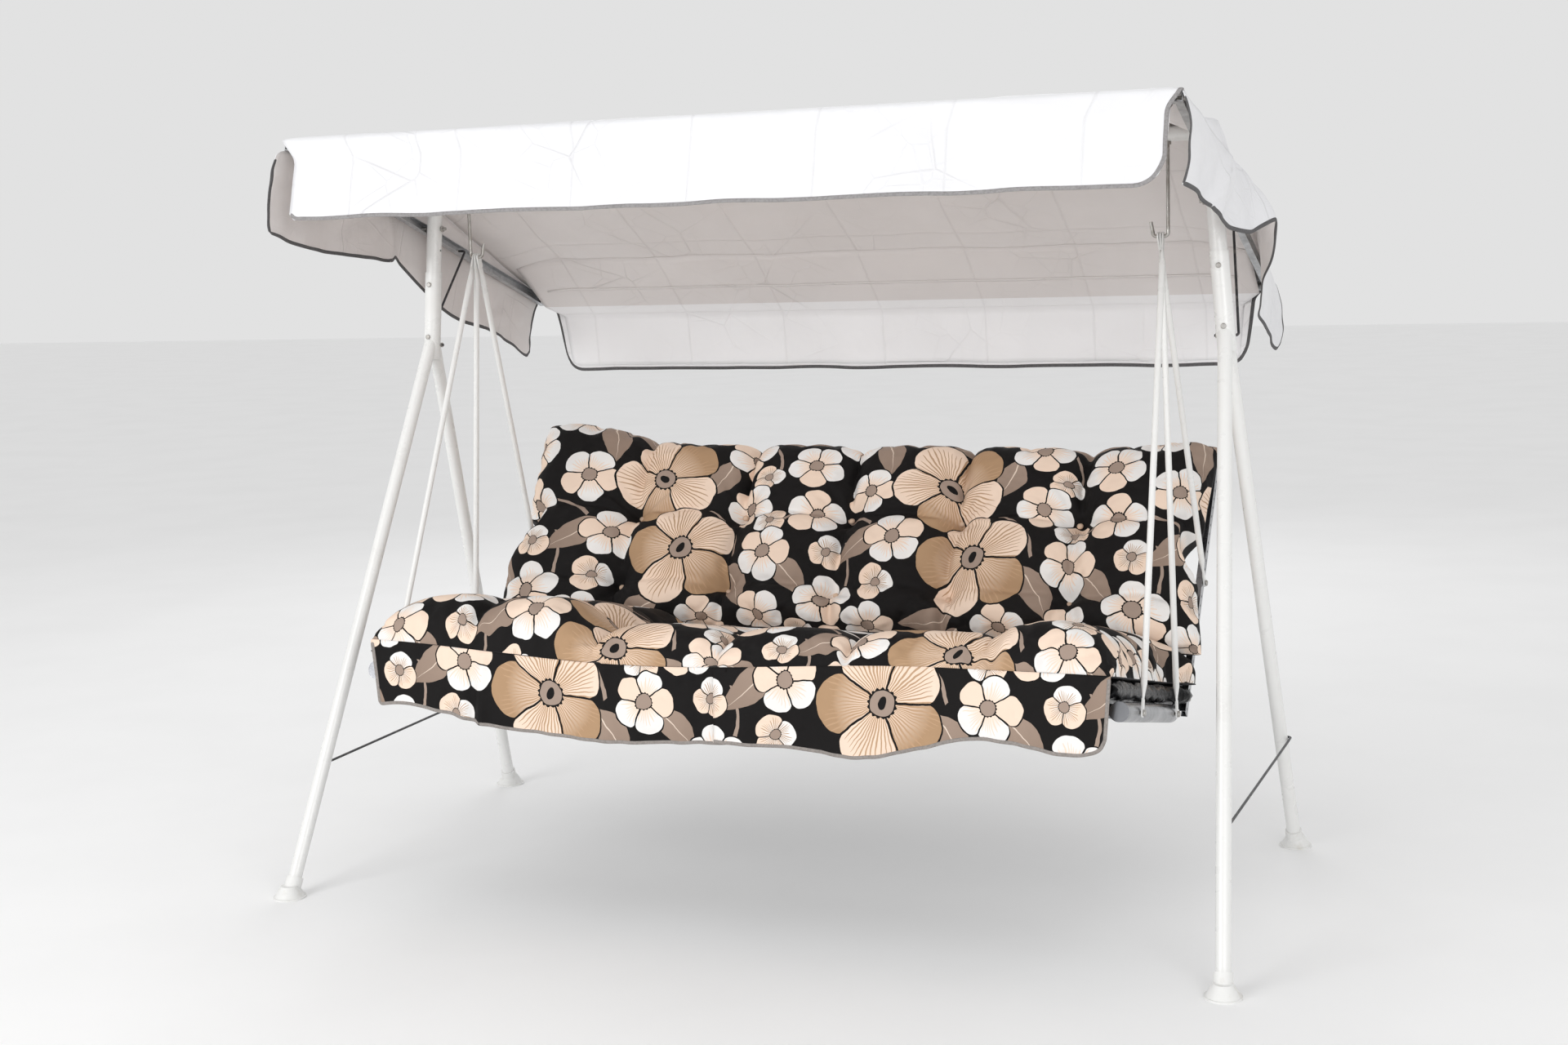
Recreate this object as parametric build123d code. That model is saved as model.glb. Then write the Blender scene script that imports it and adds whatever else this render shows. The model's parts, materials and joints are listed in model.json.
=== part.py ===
from build123d import *
import os
from math import atan, cos, degrees, radians, sin

# Canopy swing bench: two white A-frames, a top beam, a seat hung on two hooks and a tilting canopy.
# Units are millimetres and degrees. Seen from the front, +X is to the right, +Y is away and +Z is up.
# The floor is Z = 0. Pieces on the right (+X) are built and the ones on the left are their mirror images.

os.makedirs("parts", exist_ok=True)

# --- A-frame stand ---
FOOT_X = 1100.0  # half the spread of the feet
FOOT_FRONT_Y = -614.0
FOOT_REAR_Y = 451.0
APEX_X = 1003.0  # where the leg axes meet the post axis
APEX_Z = 1301.0
LEG_R = 16.0
LEG_WALL = 1.5
LEG_END_Z = 16.0  # height of the leg's cut end inside its foot
LEG_BORE_TOP_Z = 1236.0
COLLAR_R = 21.0  # pressed half shells at the leg tops
COLLAR_BOTTOM_Z = 1243.0
COLLAR_TOP_Z = 1463.0
SHELL_GAP = 0.3  # half the gap between the front leg's shell and the rear leg's
CLAMP_BOLT_Z = (1299.0, 1431.0)
POST_R = 19.0
POST_WALL = 1.5
POST_LEAN = 0.082  # inwards, per millimetre of height
POST_BOTTOM_Z = 1286.0
POST_TOP_Z = 1722.0
POST_SPARE_HOLE_Z = 1516.0
BEAM_R = 16.0
BEAM_WALL = 2.0
BEAM_Z = 1718.0
BEAM_HALF = 985.0
CAP_FLANGE = 3.0
CAP_SPIGOT = 12.0
FOOT_PAD_R = 38.5
FOOT_PAD_RIM = 4.0
FOOT_CONE_TOP_Z = 29.0
FOOT_CONE_R = 35.5
FOOT_COLLAR_R = 20.0
FOOT_COLLAR_BASE = 10.0  # heights along the leg
FOOT_COLLAR_TOP = 44.0
BRACE_R = 3.0
ROD_BEND = 8.0  # bend radius of braces and hooks
LOWER_BRACE_Z = 293.0
FIT = 0.1  # gap between a part and the piece that holds it
STAND_ZONE = (900.0, 1100.0)  # X limits of cuts through one side of the stand
CUT = 40.0  # cuts reach this far past a tube's axis

# --- Swing ---
HOOK_X = 879.0
HOOK_TIP_X = 847.0
HOOK_TIP_RISE = 32.0
HOOK_R = 4.0
SWING_Z = 1497.0  # hinge line of the seat: the bottoms of the hooks, at Y = 0
EYE_X = {"front": 868.5, "rear": 863.0, "back": 857.5}
HANGER_R = 7.0
EYE_R = 9.5
EYE_THICKNESS = 3.2
EYE_FLAT = 30.0  # length of the pressed end
EYE_TAPER = 62.0  # where the tube is round again
HANGER_FOOT_X = 902.6
BOLT_R = 4.0
BOLT_HEAD = (7.0, 5.0)  # radius and height
NUT_FLATS = 13.0
NUT_HEIGHT = 6.5
SMALL_BOLT_R = 3.0
SMALL_BOLT_HEAD = (6.0, 3.5)
SMALL_NUT_FLATS = 10.0
SMALL_NUT_HEIGHT = 5.0
RUNNING_GAP = 0.08  # radial, between a turning piece and its pin

# --- Seat frame, laid out in its own tilted frame ---
SEAT_ORIGIN = (0.0, -41.0, 432.0)  # on the line of the rear hanger bolts
SEAT_TILT = 13.13  # seat falls towards the back
SEAT_FRONT_BOLT = -387.0
SEAT_TUBE_X = 878.0
SEAT_TUBE_R = 21.0
SEAT_TUBE_SPAN = (-500.0, 35.0)
RAIL_R = 15.0
RAIL_AT = {"seat_front_rail": -480.0, "seat_rear_rail": -40.0}
SLAT_WIDTH = 30.0
SLAT_THICKNESS = 3.0
SLAT_COUNT = 7
SLAT_PITCH = 250.0

# --- Backrest frame, laid out in its own leaning frame ---
BACK_ORIGIN = (0.0, 315.0, 672.0)  # on the line of the back hanger bolts
BACK_LEAN = 39.4  # from upright
BACK_SPAN = (-350.0, 350.0)
BACK_X = (884.0, 899.0)
BACK_HALF_DEPTH = 15.0
BACK_WALL = 2.0
PERFORATION_R = 3.5
PERFORATION_PITCH = 25.0
BACK_RAIL_R = 12.5
BACK_RAIL_AT = {"back_bottom_rail": -270.0, "back_top_rail": 335.0}
BRACKET_BOLT = -310.0
BRACKET_X = (880.0, 884.0)

# --- Canopy ---
PIVOT_Z = 1570.0  # hinge line of the canopy, at Y = 0
BAR_SLOPE = degrees(atan(0.335))  # falls towards the back
SPACER_R = 7.0
BAR_X = (1001.6, 1017.6)
BAR_HEIGHT = 22.0
BAR_WALL = 2.0
BAR_SPAN = (-597.0, 643.0)  # along the bar, from the pivot
CROSS_TUBE_AT = {"canopy_front_tube": -586.4, "canopy_rear_tube": 632.8}
CROSS_TUBE_R = 11.0
CROSS_TUBE_PLUG = 15.0  # length of the threaded plug in each end
CORNER_BOLT_LENGTH = 26.0
BRACE_HOLES = (177.2, 284.8, 341.7)  # along the bar, from the pivot
BRACE_PIN_Y = 10.0
BRACE_PIN_Z = 1277.0
BRACE_PIN_REACH = 27.0  # how far the pin passes the leg's axis
BRACE_BEND = 6.5
BRACE_TIP_GAP = 2.0  # the hooked tip stops this short of the bar's web
BRACE_TOP_X = 994.0
BRACE_OUT_X = 1031.0
CLOTH = 8.0  # the cloth cover is drawn this thick
ROOF_FRONT = (-570.0, 1779.0)
ROOF_RIDGE_HALF = 16.0
ROOF_RIDGE_Z = 1753.0
ROOF_REAR = (618.0, 1387.0)
ROOF_FULL_X = 990.0  # the roof keeps its full height to here
ROOF_SIDE_X = 1014.0
ROOF_SIDE_RIDGE_Z = 1716.0
SIDE_VALANCE_X = 1042.0
SIDE_FREE_EDGE = [(575.0, 1240.0), (530.0, 1216.0), (-123.0, 1495.0), (-600.0, 1572.0), (-618.0, 1590.0)]
VALANCE = 6.0  # thickness of the hanging parts
FRONT_HEM = (-624.0, 1589.0)
FRONT_HEM_HALF = 1000.0
FRONT_CORNER = 60.0
REAR_HEM = (646.5, 1171.0)
REAR_HEM_HALF = 985.0
REAR_CORNER = 80.0
FAR = 900.0  # clear of everything, front to back

# --- Soft seat ---
SEAT_CUSHION = {"x": 862.0, "y": (-535.0, 150.0), "z": (65.0, 165.0)}
SEAT_PAD = {"x": 872.0, "y": (-520.0, 120.0), "z": (21.5, 65.0)}
BACK_CUSHION = {"x": 875.0, "y": (-109.0, -16.5), "z": (-190.0, 365.0)}
CUSHION_ROUND = 32.0
PAD_ROUND = 14.0
SKIRT_HALF = 865.0
SKIRT_TOP = (-548.0, 617.0)
SKIRT_BOTTOM = (-540.0, 464.0)
SKIRT_THICKNESS = 4.0
SKIRT_SPLIT = 0.4  # half the gap between the two halves


def save(name, *shapes):
    """Write one node, as one solid or as a group of separate solids."""
    solids = [solid for shape in shapes for solid in shape.solids()]
    export_step(solids[0] if len(solids) == 1 else Compound(solids), f"parts/{name}.step")


def mirrored(shape):
    return mirror(shape, about=Plane.YZ)


def save_pair(stem, shape):
    save(f"{stem}_right", shape)
    save(f"{stem}_left", mirrored(shape))


def save_both(name, *shapes):
    """Write right-hand shapes and their mirror images as one group."""
    save(name, *shapes, *[mirrored(shape) for shape in shapes])


def rod(start, end, radius, wall=0.0):
    """Straight round bar, or a tube if it has a wall."""
    start, end = Vector(*start), Vector(*end)
    plane = Plane(origin=start, z_dir=end - start)
    length = (end - start).length
    solid = extrude(plane * Circle(radius), amount=length)
    if wall:
        solid -= extrude(plane * Circle(radius - wall), amount=length)
    return solid


def bent_rod(points, bend, radius):
    """Round bar that follows straight runs with tangent bends."""
    path = FilletPolyline(*points, radius=bend)
    section = Plane(origin=path @ 0, z_dir=path % 0) * Circle(radius)
    return sweep(section, path=path)


def along_x(x0, x1, y, z, radius):
    return rod((x0, y, z), (x1, y, z), radius)


def along_y(x, y0, y1, z, radius):
    return rod((x, y0, z), (x, y1, z), radius)


def block(x, y, z):
    """Box between three pairs of limits."""
    size = [high - low for low, high in (x, y, z)]
    return Pos(x[0], y[0], z[0]) * Box(*size, align=(Align.MIN,) * 3)


def nut(plane, flats=NUT_FLATS, height=NUT_HEIGHT, bore=BOLT_R):
    """Hexagon nut that stands on a plane."""
    outline = RegularPolygon(flats / 2, 6, major_radius=False) - Circle(bore)
    return extrude(plane * outline, amount=height)


def bolt(head_plane, length, radius=BOLT_R, head_size=BOLT_HEAD):
    """Round-headed bolt: the head rises from the plane, the shank goes below it."""
    head_r, head_height = head_size
    head = extrude(head_plane * Circle(head_r), amount=head_height)
    crown = head.faces().sort_by(Axis(head_plane.origin, head_plane.z_dir))[-1]
    head = fillet(crown.edges(), head_height * 0.6)
    return head + extrude(head_plane * Circle(radius), amount=-length)


def post_x(z):
    return APEX_X - POST_LEAN * (z - APEX_Z)


def post_axis(z):
    return (post_x(z), 0.0, z)


# ---------------------------------------------------------------- A-frame stand
def clamp_holes():
    return [along_y(post_x(z), -CUT, CUT, z, SMALL_BOLT_R + FIT) for z in CLAMP_BOLT_Z]


def leg_axis(foot_y, height):
    """Point on a leg's axis at a height above the floor."""
    share = height / APEX_Z
    return (FOOT_X + (APEX_X - FOOT_X) * share, foot_y * (1 - share), height)


def leg(foot_y):
    """Tube from foot to apex, its top pressed to a half shell round the post."""
    tube = rod(leg_axis(foot_y, LEG_END_Z), leg_axis(foot_y, APEX_Z), LEG_R)
    bore = rod(leg_axis(foot_y, 0.0), leg_axis(foot_y, LEG_BORE_TOP_Z), LEG_R - LEG_WALL)
    shell = rod(post_axis(COLLAR_BOTTOM_Z), post_axis(COLLAR_TOP_Z), COLLAR_R)
    shell -= rod(post_axis(COLLAR_BOTTOM_Z), post_axis(COLLAR_TOP_Z), POST_R + FIT)
    shape = tube - bore + shell
    shape -= rod(post_axis(POST_BOTTOM_Z - FIT), post_axis(COLLAR_TOP_Z + 1), POST_R + FIT)
    reach = (foot_y - CUT, -SHELL_GAP) if foot_y < 0 else (SHELL_GAP, foot_y + CUT)
    shape &= block((STAND_ZONE[0], FOOT_X + CUT), reach, (0.0, COLLAR_TOP_Z))
    return shape - clamp_holes()


def brace_socket():
    """Hole in the front leg's rear wall that takes the lower brace."""
    x, y, z = leg_axis(FOOT_FRONT_Y, LOWER_BRACE_Z)
    return along_y(x, y, y + CUT, z, BRACE_R + FIT)


def foot_pad(foot_y):
    """Flared plastic foot with a short collar in line with the leg."""
    on_floor = (Align.CENTER, Align.CENTER, Align.MIN)
    cone_height = FOOT_CONE_TOP_Z - FOOT_PAD_RIM
    pad = Pos(FOOT_X, foot_y, 0) * Cylinder(FOOT_PAD_R, FOOT_PAD_RIM, align=on_floor)
    cone = Cone(FOOT_CONE_R, FOOT_COLLAR_R, cone_height, align=on_floor)
    pad += Pos(FOOT_X, foot_y, FOOT_PAD_RIM) * cone
    pad += rod(leg_axis(foot_y, FOOT_COLLAR_BASE), leg_axis(foot_y, FOOT_COLLAR_TOP), FOOT_COLLAR_R)
    return pad - rod(leg_axis(foot_y, LEG_END_Z), leg_axis(foot_y, 2 * FOOT_COLLAR_TOP), LEG_R + FIT)


def beam_tube(radius):
    return along_x(-BEAM_HALF, BEAM_HALF, 0.0, BEAM_Z, radius)


def beam_bolt_hole():
    return along_y(post_x(BEAM_Z), -CUT, CUT, BEAM_Z, SMALL_BOLT_R + FIT)


def post():
    """Post tube; its top is cut to cradle the beam."""
    shape = rod(post_axis(POST_BOTTOM_Z), post_axis(POST_TOP_Z), POST_R, POST_WALL)
    shape -= along_x(*STAND_ZONE, 0.0, BEAM_Z, BEAM_R + FIT)
    shape -= block(STAND_ZONE, (-BEAM_R, BEAM_R), (BEAM_Z, BEAM_Z + CUT))
    shape -= clamp_holes()
    shape -= beam_bolt_hole()
    shape -= along_x(*STAND_ZONE, 0.0, PIVOT_Z, BOLT_R + FIT)
    return shape - along_x(STAND_ZONE[0], post_x(POST_SPARE_HOLE_Z), 0.0, POST_SPARE_HOLE_Z, SMALL_BOLT_R)


def top_beam():
    shape = beam_tube(BEAM_R) - beam_tube(BEAM_R - BEAM_WALL)
    hook_hole = rod((HOOK_X, 0, BEAM_Z - CUT), (HOOK_X, 0, BEAM_Z + CUT), HOOK_R + FIT)
    holes = [hook_hole, beam_bolt_hole()]
    return shape - holes - [mirrored(hole) for hole in holes]


def beam_cap():
    flange = along_x(BEAM_HALF, BEAM_HALF + CAP_FLANGE, 0.0, BEAM_Z, BEAM_R)
    return flange + along_x(BEAM_HALF - CAP_SPIGOT, BEAM_HALF, 0.0, BEAM_Z, BEAM_R - BEAM_WALL - FIT)


def lower_brace():
    """Rod from the front leg's rear wall to the rear leg, which it hooks round."""
    front_x, front_y, z = leg_axis(FOOT_FRONT_Y, LOWER_BRACE_Z)
    rear_x, rear_y, _ = leg_axis(FOOT_REAR_Y, LOWER_BRACE_Z)
    outside = rear_x + LEG_R + BRACE_R + 1.0
    behind = rear_y + LEG_R + BRACE_R + 2.0
    points = [
        (front_x, front_y + 6.0, z),
        (front_x, front_y + 40.0, z),
        (outside, rear_y - 20.0, z),
        (outside, behind, z),
        (rear_x - 6.0, behind, z),
    ]
    return bent_rod(points, ROD_BEND, BRACE_R)


def swing_hook():
    """Rod through the beam, bent to a J that the hangers thread on."""
    points = [
        (HOOK_X, 0, BEAM_Z + BEAM_R + NUT_HEIGHT + 1.0),
        (HOOK_X, 0, SWING_Z),
        (HOOK_TIP_X, 0, SWING_Z),
        (HOOK_TIP_X - 6.0, 0, SWING_Z + HOOK_TIP_RISE),
    ]
    return bent_rod(points, ROD_BEND, HOOK_R)


def hook_nuts():
    above = Plane(origin=(HOOK_X, 0, BEAM_Z + BEAM_R + FIT))
    below = Plane(origin=(HOOK_X, 0, BEAM_Z - BEAM_R - NUT_HEIGHT - FIT))
    return [nut(above, bore=HOOK_R), nut(below, bore=HOOK_R)]


save_pair("front_leg", leg(FOOT_FRONT_Y) - brace_socket())
pin_hole = along_x(*STAND_ZONE, BRACE_PIN_Y, BRACE_PIN_Z, BRACE_R + RUNNING_GAP)
save_pair("rear_leg", leg(FOOT_REAR_Y) - pin_hole)
save_pair("front_foot", foot_pad(FOOT_FRONT_Y))
save_pair("rear_foot", foot_pad(FOOT_REAR_Y))
save_pair("post", post())
save_pair("lower_brace", lower_brace())
save_pair("swing_hook", swing_hook())
save("top_beam", top_beam())
save_both("beam_end_caps", beam_cap())


def cross_bolt(z, face, spare):
    """Small bolt that runs front to back through the post at a height."""
    head = Plane(origin=(post_x(z), -face, z), z_dir=(0, -1, 0))
    return bolt(head, 2 * face + spare, SMALL_BOLT_R, SMALL_BOLT_HEAD)


# Two bolts clamp both leg shells to each post, and one holds the beam in the post's top.
CLAMP_FACE = COLLAR_R + 0.9
frame_bolts = [cross_bolt(z, CLAMP_FACE, SMALL_NUT_HEIGHT + 2.0) for z in CLAMP_BOLT_Z]
frame_bolts.append(cross_bolt(BEAM_Z, POST_R + 0.2, 2.0))
save_both("frame_bolts", *frame_bolts)

# Canopy pivots: a bolt through each post, a spacer, and a nut on the inner side.
PIVOT_HEAD_X = BAR_X[1] + 0.3
PIVOT_GAP = 0.8  # the post leans, so its neighbours stand off by this
pivot_inner_x = post_x(PIVOT_Z) - POST_R - PIVOT_GAP
pivot_head = Plane(origin=(PIVOT_HEAD_X, 0, PIVOT_Z), z_dir=(1, 0, 0))
save_both("pivot_bolts", bolt(pivot_head, PIVOT_HEAD_X - pivot_inner_x + 2 * NUT_HEIGHT))
spacer_x = (post_x(PIVOT_Z) + POST_R + PIVOT_GAP, BAR_X[1] - BAR_WALL - 0.3)
spacer = along_x(*spacer_x, 0.0, PIVOT_Z, SPACER_R) - along_x(*spacer_x, 0.0, PIVOT_Z, BOLT_R + FIT)
save_both("pivot_spacers", spacer)

frame_nuts = hook_nuts()
frame_nuts.append(nut(Plane(origin=(pivot_inner_x, 0, PIVOT_Z), z_dir=(-1, 0, 0))))
for bolt_z in CLAMP_BOLT_Z:
    tail = Plane(origin=(post_x(bolt_z), CLAMP_FACE, bolt_z), z_dir=(0, 1, 0))
    frame_nuts.append(nut(tail, SMALL_NUT_FLATS, SMALL_NUT_HEIGHT, SMALL_BOLT_R))
save_both("frame_nuts", *frame_nuts)


# ---------------------------------------------------------------- canopy frame
BAR_FRAME = Pos(0, 0, PIVOT_Z) * Rot(X=-BAR_SLOPE)  # Y runs down the bar, from the pivot


def bar_point(distance):
    """Y and Z of a point on the bar's centre line."""
    angle = radians(BAR_SLOPE)
    return distance * cos(angle), PIVOT_Z - distance * sin(angle)


def canopy_bar():
    """Channel, open towards the post, drilled for pivot, brace and cross tubes."""
    half = BAR_HEIGHT / 2
    inner = half - BAR_WALL
    shape = block(BAR_X, BAR_SPAN, (-half, half))
    shape -= block((BAR_X[0] - 1, BAR_X[1] - BAR_WALL), (BAR_SPAN[0] - 1, BAR_SPAN[1] + 1), (-inner, inner))
    shape -= along_x(*BAR_X, 0.0, 0.0, BOLT_R + RUNNING_GAP)
    shape -= [along_x(*BAR_X, hole, 0.0, BRACE_R + 0.6) for hole in BRACE_HOLES]
    shape -= [along_x(*BAR_X, hole, 0.0, SMALL_BOLT_R + FIT) for hole in CROSS_TUBE_AT.values()]
    return BAR_FRAME * shape


def cross_tube(distance):
    """Tube across the canopy, plugged and drilled at its ends."""
    y, z = bar_point(distance)
    half = BAR_X[0] - FIT
    inside = half - CROSS_TUBE_PLUG
    shape = along_x(-half, half, y, z, CROSS_TUBE_R)
    shape -= along_x(-inside, inside, y, z, CROSS_TUBE_R - LEG_WALL)
    return shape - along_x(-half, half, y, z, SMALL_BOLT_R + FIT)


def tilt_brace():
    """Rod from its pin in the rear leg to the first hole of the side bar."""
    y, z = bar_point(BRACE_HOLES[0])
    points = [
        (post_x(BRACE_PIN_Z) - BRACE_PIN_REACH, BRACE_PIN_Y, BRACE_PIN_Z),
        (BRACE_OUT_X, BRACE_PIN_Y, BRACE_PIN_Z),
        (BRACE_TOP_X, y, z),
        (BAR_X[1] - BAR_WALL - BRACE_TIP_GAP, y, z),
    ]
    return bent_rod(points, BRACE_BEND, BRACE_R)


save_pair("canopy_bar", canopy_bar())
for tube_name, tube_at in CROSS_TUBE_AT.items():
    save(tube_name, cross_tube(tube_at))
corner_bolts = []
for tube_at in CROSS_TUBE_AT.values():
    corner = Plane(origin=(BAR_X[1], *bar_point(tube_at)), z_dir=(1, 0, 0))
    corner_bolts.append(bolt(corner, CORNER_BOLT_LENGTH, SMALL_BOLT_R, SMALL_BOLT_HEAD))
save_both("corner_bolts", *corner_bolts)
save_pair("tilt_brace", tilt_brace())
clip_x = (post_x(BRACE_PIN_Z) - 23.8, post_x(BRACE_PIN_Z) - 21.3)
disc, shank = [along_x(*clip_x, BRACE_PIN_Y, BRACE_PIN_Z, radius) for radius in (2 * BRACE_R, BRACE_R)]
save_both("brace_clips", disc - shank)


# ---------------------------------------------------------------- canopy cloth
def prism(outline, x0, x1):
    """Solid with a YZ outline between two X planes."""
    plane = Plane(origin=(x0, 0, 0), x_dir=(0, 1, 0), z_dir=(1, 0, 0))
    return extrude(plane * make_face(Polyline(*outline, close=True)), amount=x1 - x0)


def roof_outline(ridge_z):
    """Section of the roof: front edge, flat over the beam, rear edge, and back underneath."""
    top = [ROOF_FRONT, (-ROOF_RIDGE_HALF, ridge_z), (ROOF_RIDGE_HALF, ridge_z), ROOF_REAR]
    return top + [(y, z - CLOTH) for y, z in reversed(top)]


def roof_face(x, ridge_z):
    plane = Plane(origin=(x, 0, 0), x_dir=(0, 1, 0), z_dir=(1, 0, 0))
    return plane * make_face(Polyline(*roof_outline(ridge_z), close=True))


def canopy_roof():
    shape = prism(roof_outline(ROOF_RIDGE_Z), -ROOF_FULL_X, ROOF_FULL_X)
    edge = loft([roof_face(ROOF_FULL_X, ROOF_RIDGE_Z), roof_face(ROOF_SIDE_X, ROOF_SIDE_RIDGE_Z)], ruled=True)
    return shape + edge + mirrored(edge)


def side_valance():
    """Cloth past the side bar: a strip level with the roof's edge and a hanging wall."""
    top = [ROOF_FRONT, (-ROOF_RIDGE_HALF, ROOF_SIDE_RIDGE_Z), (ROOF_RIDGE_HALF, ROOF_SIDE_RIDGE_Z), ROOF_REAR]
    wall = prism(top + SIDE_FREE_EDGE, ROOF_SIDE_X, SIDE_VALANCE_X)
    under = [(y, z - CLOTH) for y, z in top]
    front, rear, low = -FAR, FAR, 0.0
    hollow = [(front, under[0][1]), *under, (rear, under[-1][1]), (rear, low), (front, low)]
    return wall - prism(hollow, ROOF_SIDE_X - 1, SIDE_VALANCE_X - VALANCE)


def hanging_cloth(top, bottom, half_width, corner):
    """Front or rear valance: a leaning panel with rounded lower corners."""
    away = VALANCE if bottom[0] > 0 else -VALANCE
    outline = [top, (top[0] + away, top[1]), (bottom[0] + away, bottom[1]), bottom]
    shape = prism(outline, -half_width, half_width)
    height = top[1] - bottom[1]
    window = RectangleRounded(2 * half_width, 2 * height, corner)
    facing = Plane(origin=(0, FAR, top[1]), x_dir=(1, 0, 0), z_dir=(0, -1, 0))
    return shape & extrude(facing * window, amount=2 * FAR)


save("canopy_roof", canopy_roof())
save_pair("side_valance", side_valance())
save("front_valance", hanging_cloth(ROOF_FRONT, FRONT_HEM, FRONT_HEM_HALF, FRONT_CORNER))
save("rear_valance", hanging_cloth(ROOF_REAR, REAR_HEM, REAR_HEM_HALF, REAR_CORNER))


# ---------------------------------------------------------------- hangers
def seat_point(y, z=0.0):
    """World point of a place in the seat's tilted frame."""
    angle = radians(SEAT_TILT)
    return (
        HANGER_FOOT_X,
        SEAT_ORIGIN[1] + y * cos(angle) + z * sin(angle),
        SEAT_ORIGIN[2] - y * sin(angle) + z * cos(angle),
    )


HANGER_FEET = {
    "front": seat_point(SEAT_FRONT_BOLT),
    "rear": seat_point(0.0),
    "back": (HANGER_FOOT_X, *BACK_ORIGIN[1:]),
}


def hanger(eye_x, foot):
    """Tube with both ends pressed flat and drilled, from the hook to its bolt."""
    top, bottom = Vector(eye_x, 0, SWING_Z), Vector(*foot)
    axis = (bottom - top).normalized()
    side = (Vector(1, 0, 0) - axis * axis.X).normalized()
    length = (bottom - top).length

    def section(distance):
        return Plane(origin=top + axis * distance, x_dir=side, z_dir=axis)

    shape = extrude(section(EYE_TAPER) * Circle(HANGER_R), amount=length - 2 * EYE_TAPER)
    for centre, sense in ((0.0, 1), (length, -1)):
        eye_plane = Plane(origin=top + axis * centre - side * (EYE_THICKNESS / 2), z_dir=side)
        shape += extrude(eye_plane * Circle(EYE_R), amount=EYE_THICKNESS)
        shape += extrude(section(centre) * Rectangle(EYE_THICKNESS, 2 * EYE_R), amount=sense * EYE_FLAT)
        oval = section(centre + sense * EYE_FLAT) * Ellipse(EYE_THICKNESS / 2, EYE_R)
        shape += loft([oval, section(centre + sense * EYE_TAPER) * Circle(HANGER_R)])
    shape -= along_x(eye_x - EYE_R, eye_x + EYE_R, 0.0, SWING_Z, HOOK_R + RUNNING_GAP)
    return shape - along_x(foot[0] - EYE_R, foot[0] + EYE_R, foot[1], foot[2], BOLT_R + FIT)


for place, foot_point in HANGER_FEET.items():
    save_pair(f"hanger_{place}", hanger(EYE_X[place], foot_point))

# ---------------------------------------------------------------- seat frame
SEAT = Pos(*SEAT_ORIGIN) * Rot(X=-SEAT_TILT)
SEAT_BOLTS = (SEAT_FRONT_BOLT, 0.0)


def seat_side():
    shape = along_y(SEAT_TUBE_X, *SEAT_TUBE_SPAN, 0.0, SEAT_TUBE_R)
    shape -= along_y(SEAT_TUBE_X, *SEAT_TUBE_SPAN, 0.0, SEAT_TUBE_R - LEG_WALL)
    across = (SEAT_TUBE_X - CUT, SEAT_TUBE_X + CUT)
    return shape - [along_x(*across, y, 0.0, BOLT_R + FIT) for y in SEAT_BOLTS]


def seat_rail(y):
    """Cross rail, its ends cut to the round of the side tubes."""
    span = SEAT_TUBE_X - 12.0
    shape = along_x(-span, span, y, 0.0, RAIL_R) - along_x(-span, span, y, 0.0, RAIL_R - LEG_WALL)
    cope = along_y(SEAT_TUBE_X, *SEAT_TUBE_SPAN, 0.0, SEAT_TUBE_R + FIT)
    return shape - [cope, mirrored(cope)]


def tube_cap():
    y = SEAT_TUBE_SPAN[0]
    spigot = along_y(SEAT_TUBE_X, y, y + CAP_SPIGOT, 0.0, SEAT_TUBE_R - LEG_WALL - FIT)
    return along_y(SEAT_TUBE_X, y - CAP_FLANGE, y, 0.0, SEAT_TUBE_R) + spigot


def slat_places():
    middle = (SLAT_COUNT - 1) / 2
    return [(index - middle) * SLAT_PITCH for index in range(SLAT_COUNT)]


def seat_slats():
    y = tuple(RAIL_AT.values())
    z = (RAIL_R + 0.05, RAIL_R + 0.05 + SLAT_THICKNESS)
    return [block((x - SLAT_WIDTH / 2, x + SLAT_WIDTH / 2), y, z) for x in slat_places()]


def back_bracket():
    """Plate that comes out of the seat tube's rear end and carries the backrest."""
    angle = radians(SEAT_TILT)
    dy = BACK_ORIGIN[1] + BRACKET_BOLT * sin(radians(BACK_LEAN)) - SEAT_ORIGIN[1]
    dz = BACK_ORIGIN[2] + BRACKET_BOLT * cos(radians(BACK_LEAN)) - SEAT_ORIGIN[2]
    end = (dy * cos(angle) - dz * sin(angle), dy * sin(angle) + dz * cos(angle))
    outline = [(-60, -14), (45, -14), (end[0], end[1] - 16), (end[0], end[1] + 16), (35, 14), (-60, 14)]
    shape = prism(outline, *BRACKET_X) + along_x(*BRACKET_X, *end, 16.0)
    return shape - [along_x(*BRACKET_X, 0.0, 0.0, BOLT_R + FIT), along_x(*BRACKET_X, *end, BOLT_R + FIT)]


save_pair("seat_side_tube", SEAT * seat_side())
for rail_name, rail_y in RAIL_AT.items():
    save(rail_name, SEAT * seat_rail(rail_y))
save_both("seat_tube_caps", SEAT * tube_cap())
save("seat_slats", *[SEAT * slat for slat in seat_slats()])
save_pair("back_bracket", SEAT * back_bracket())

# ---------------------------------------------------------------- backrest frame
BACK = Pos(*BACK_ORIGIN) * Rot(X=-BACK_LEAN)

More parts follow.
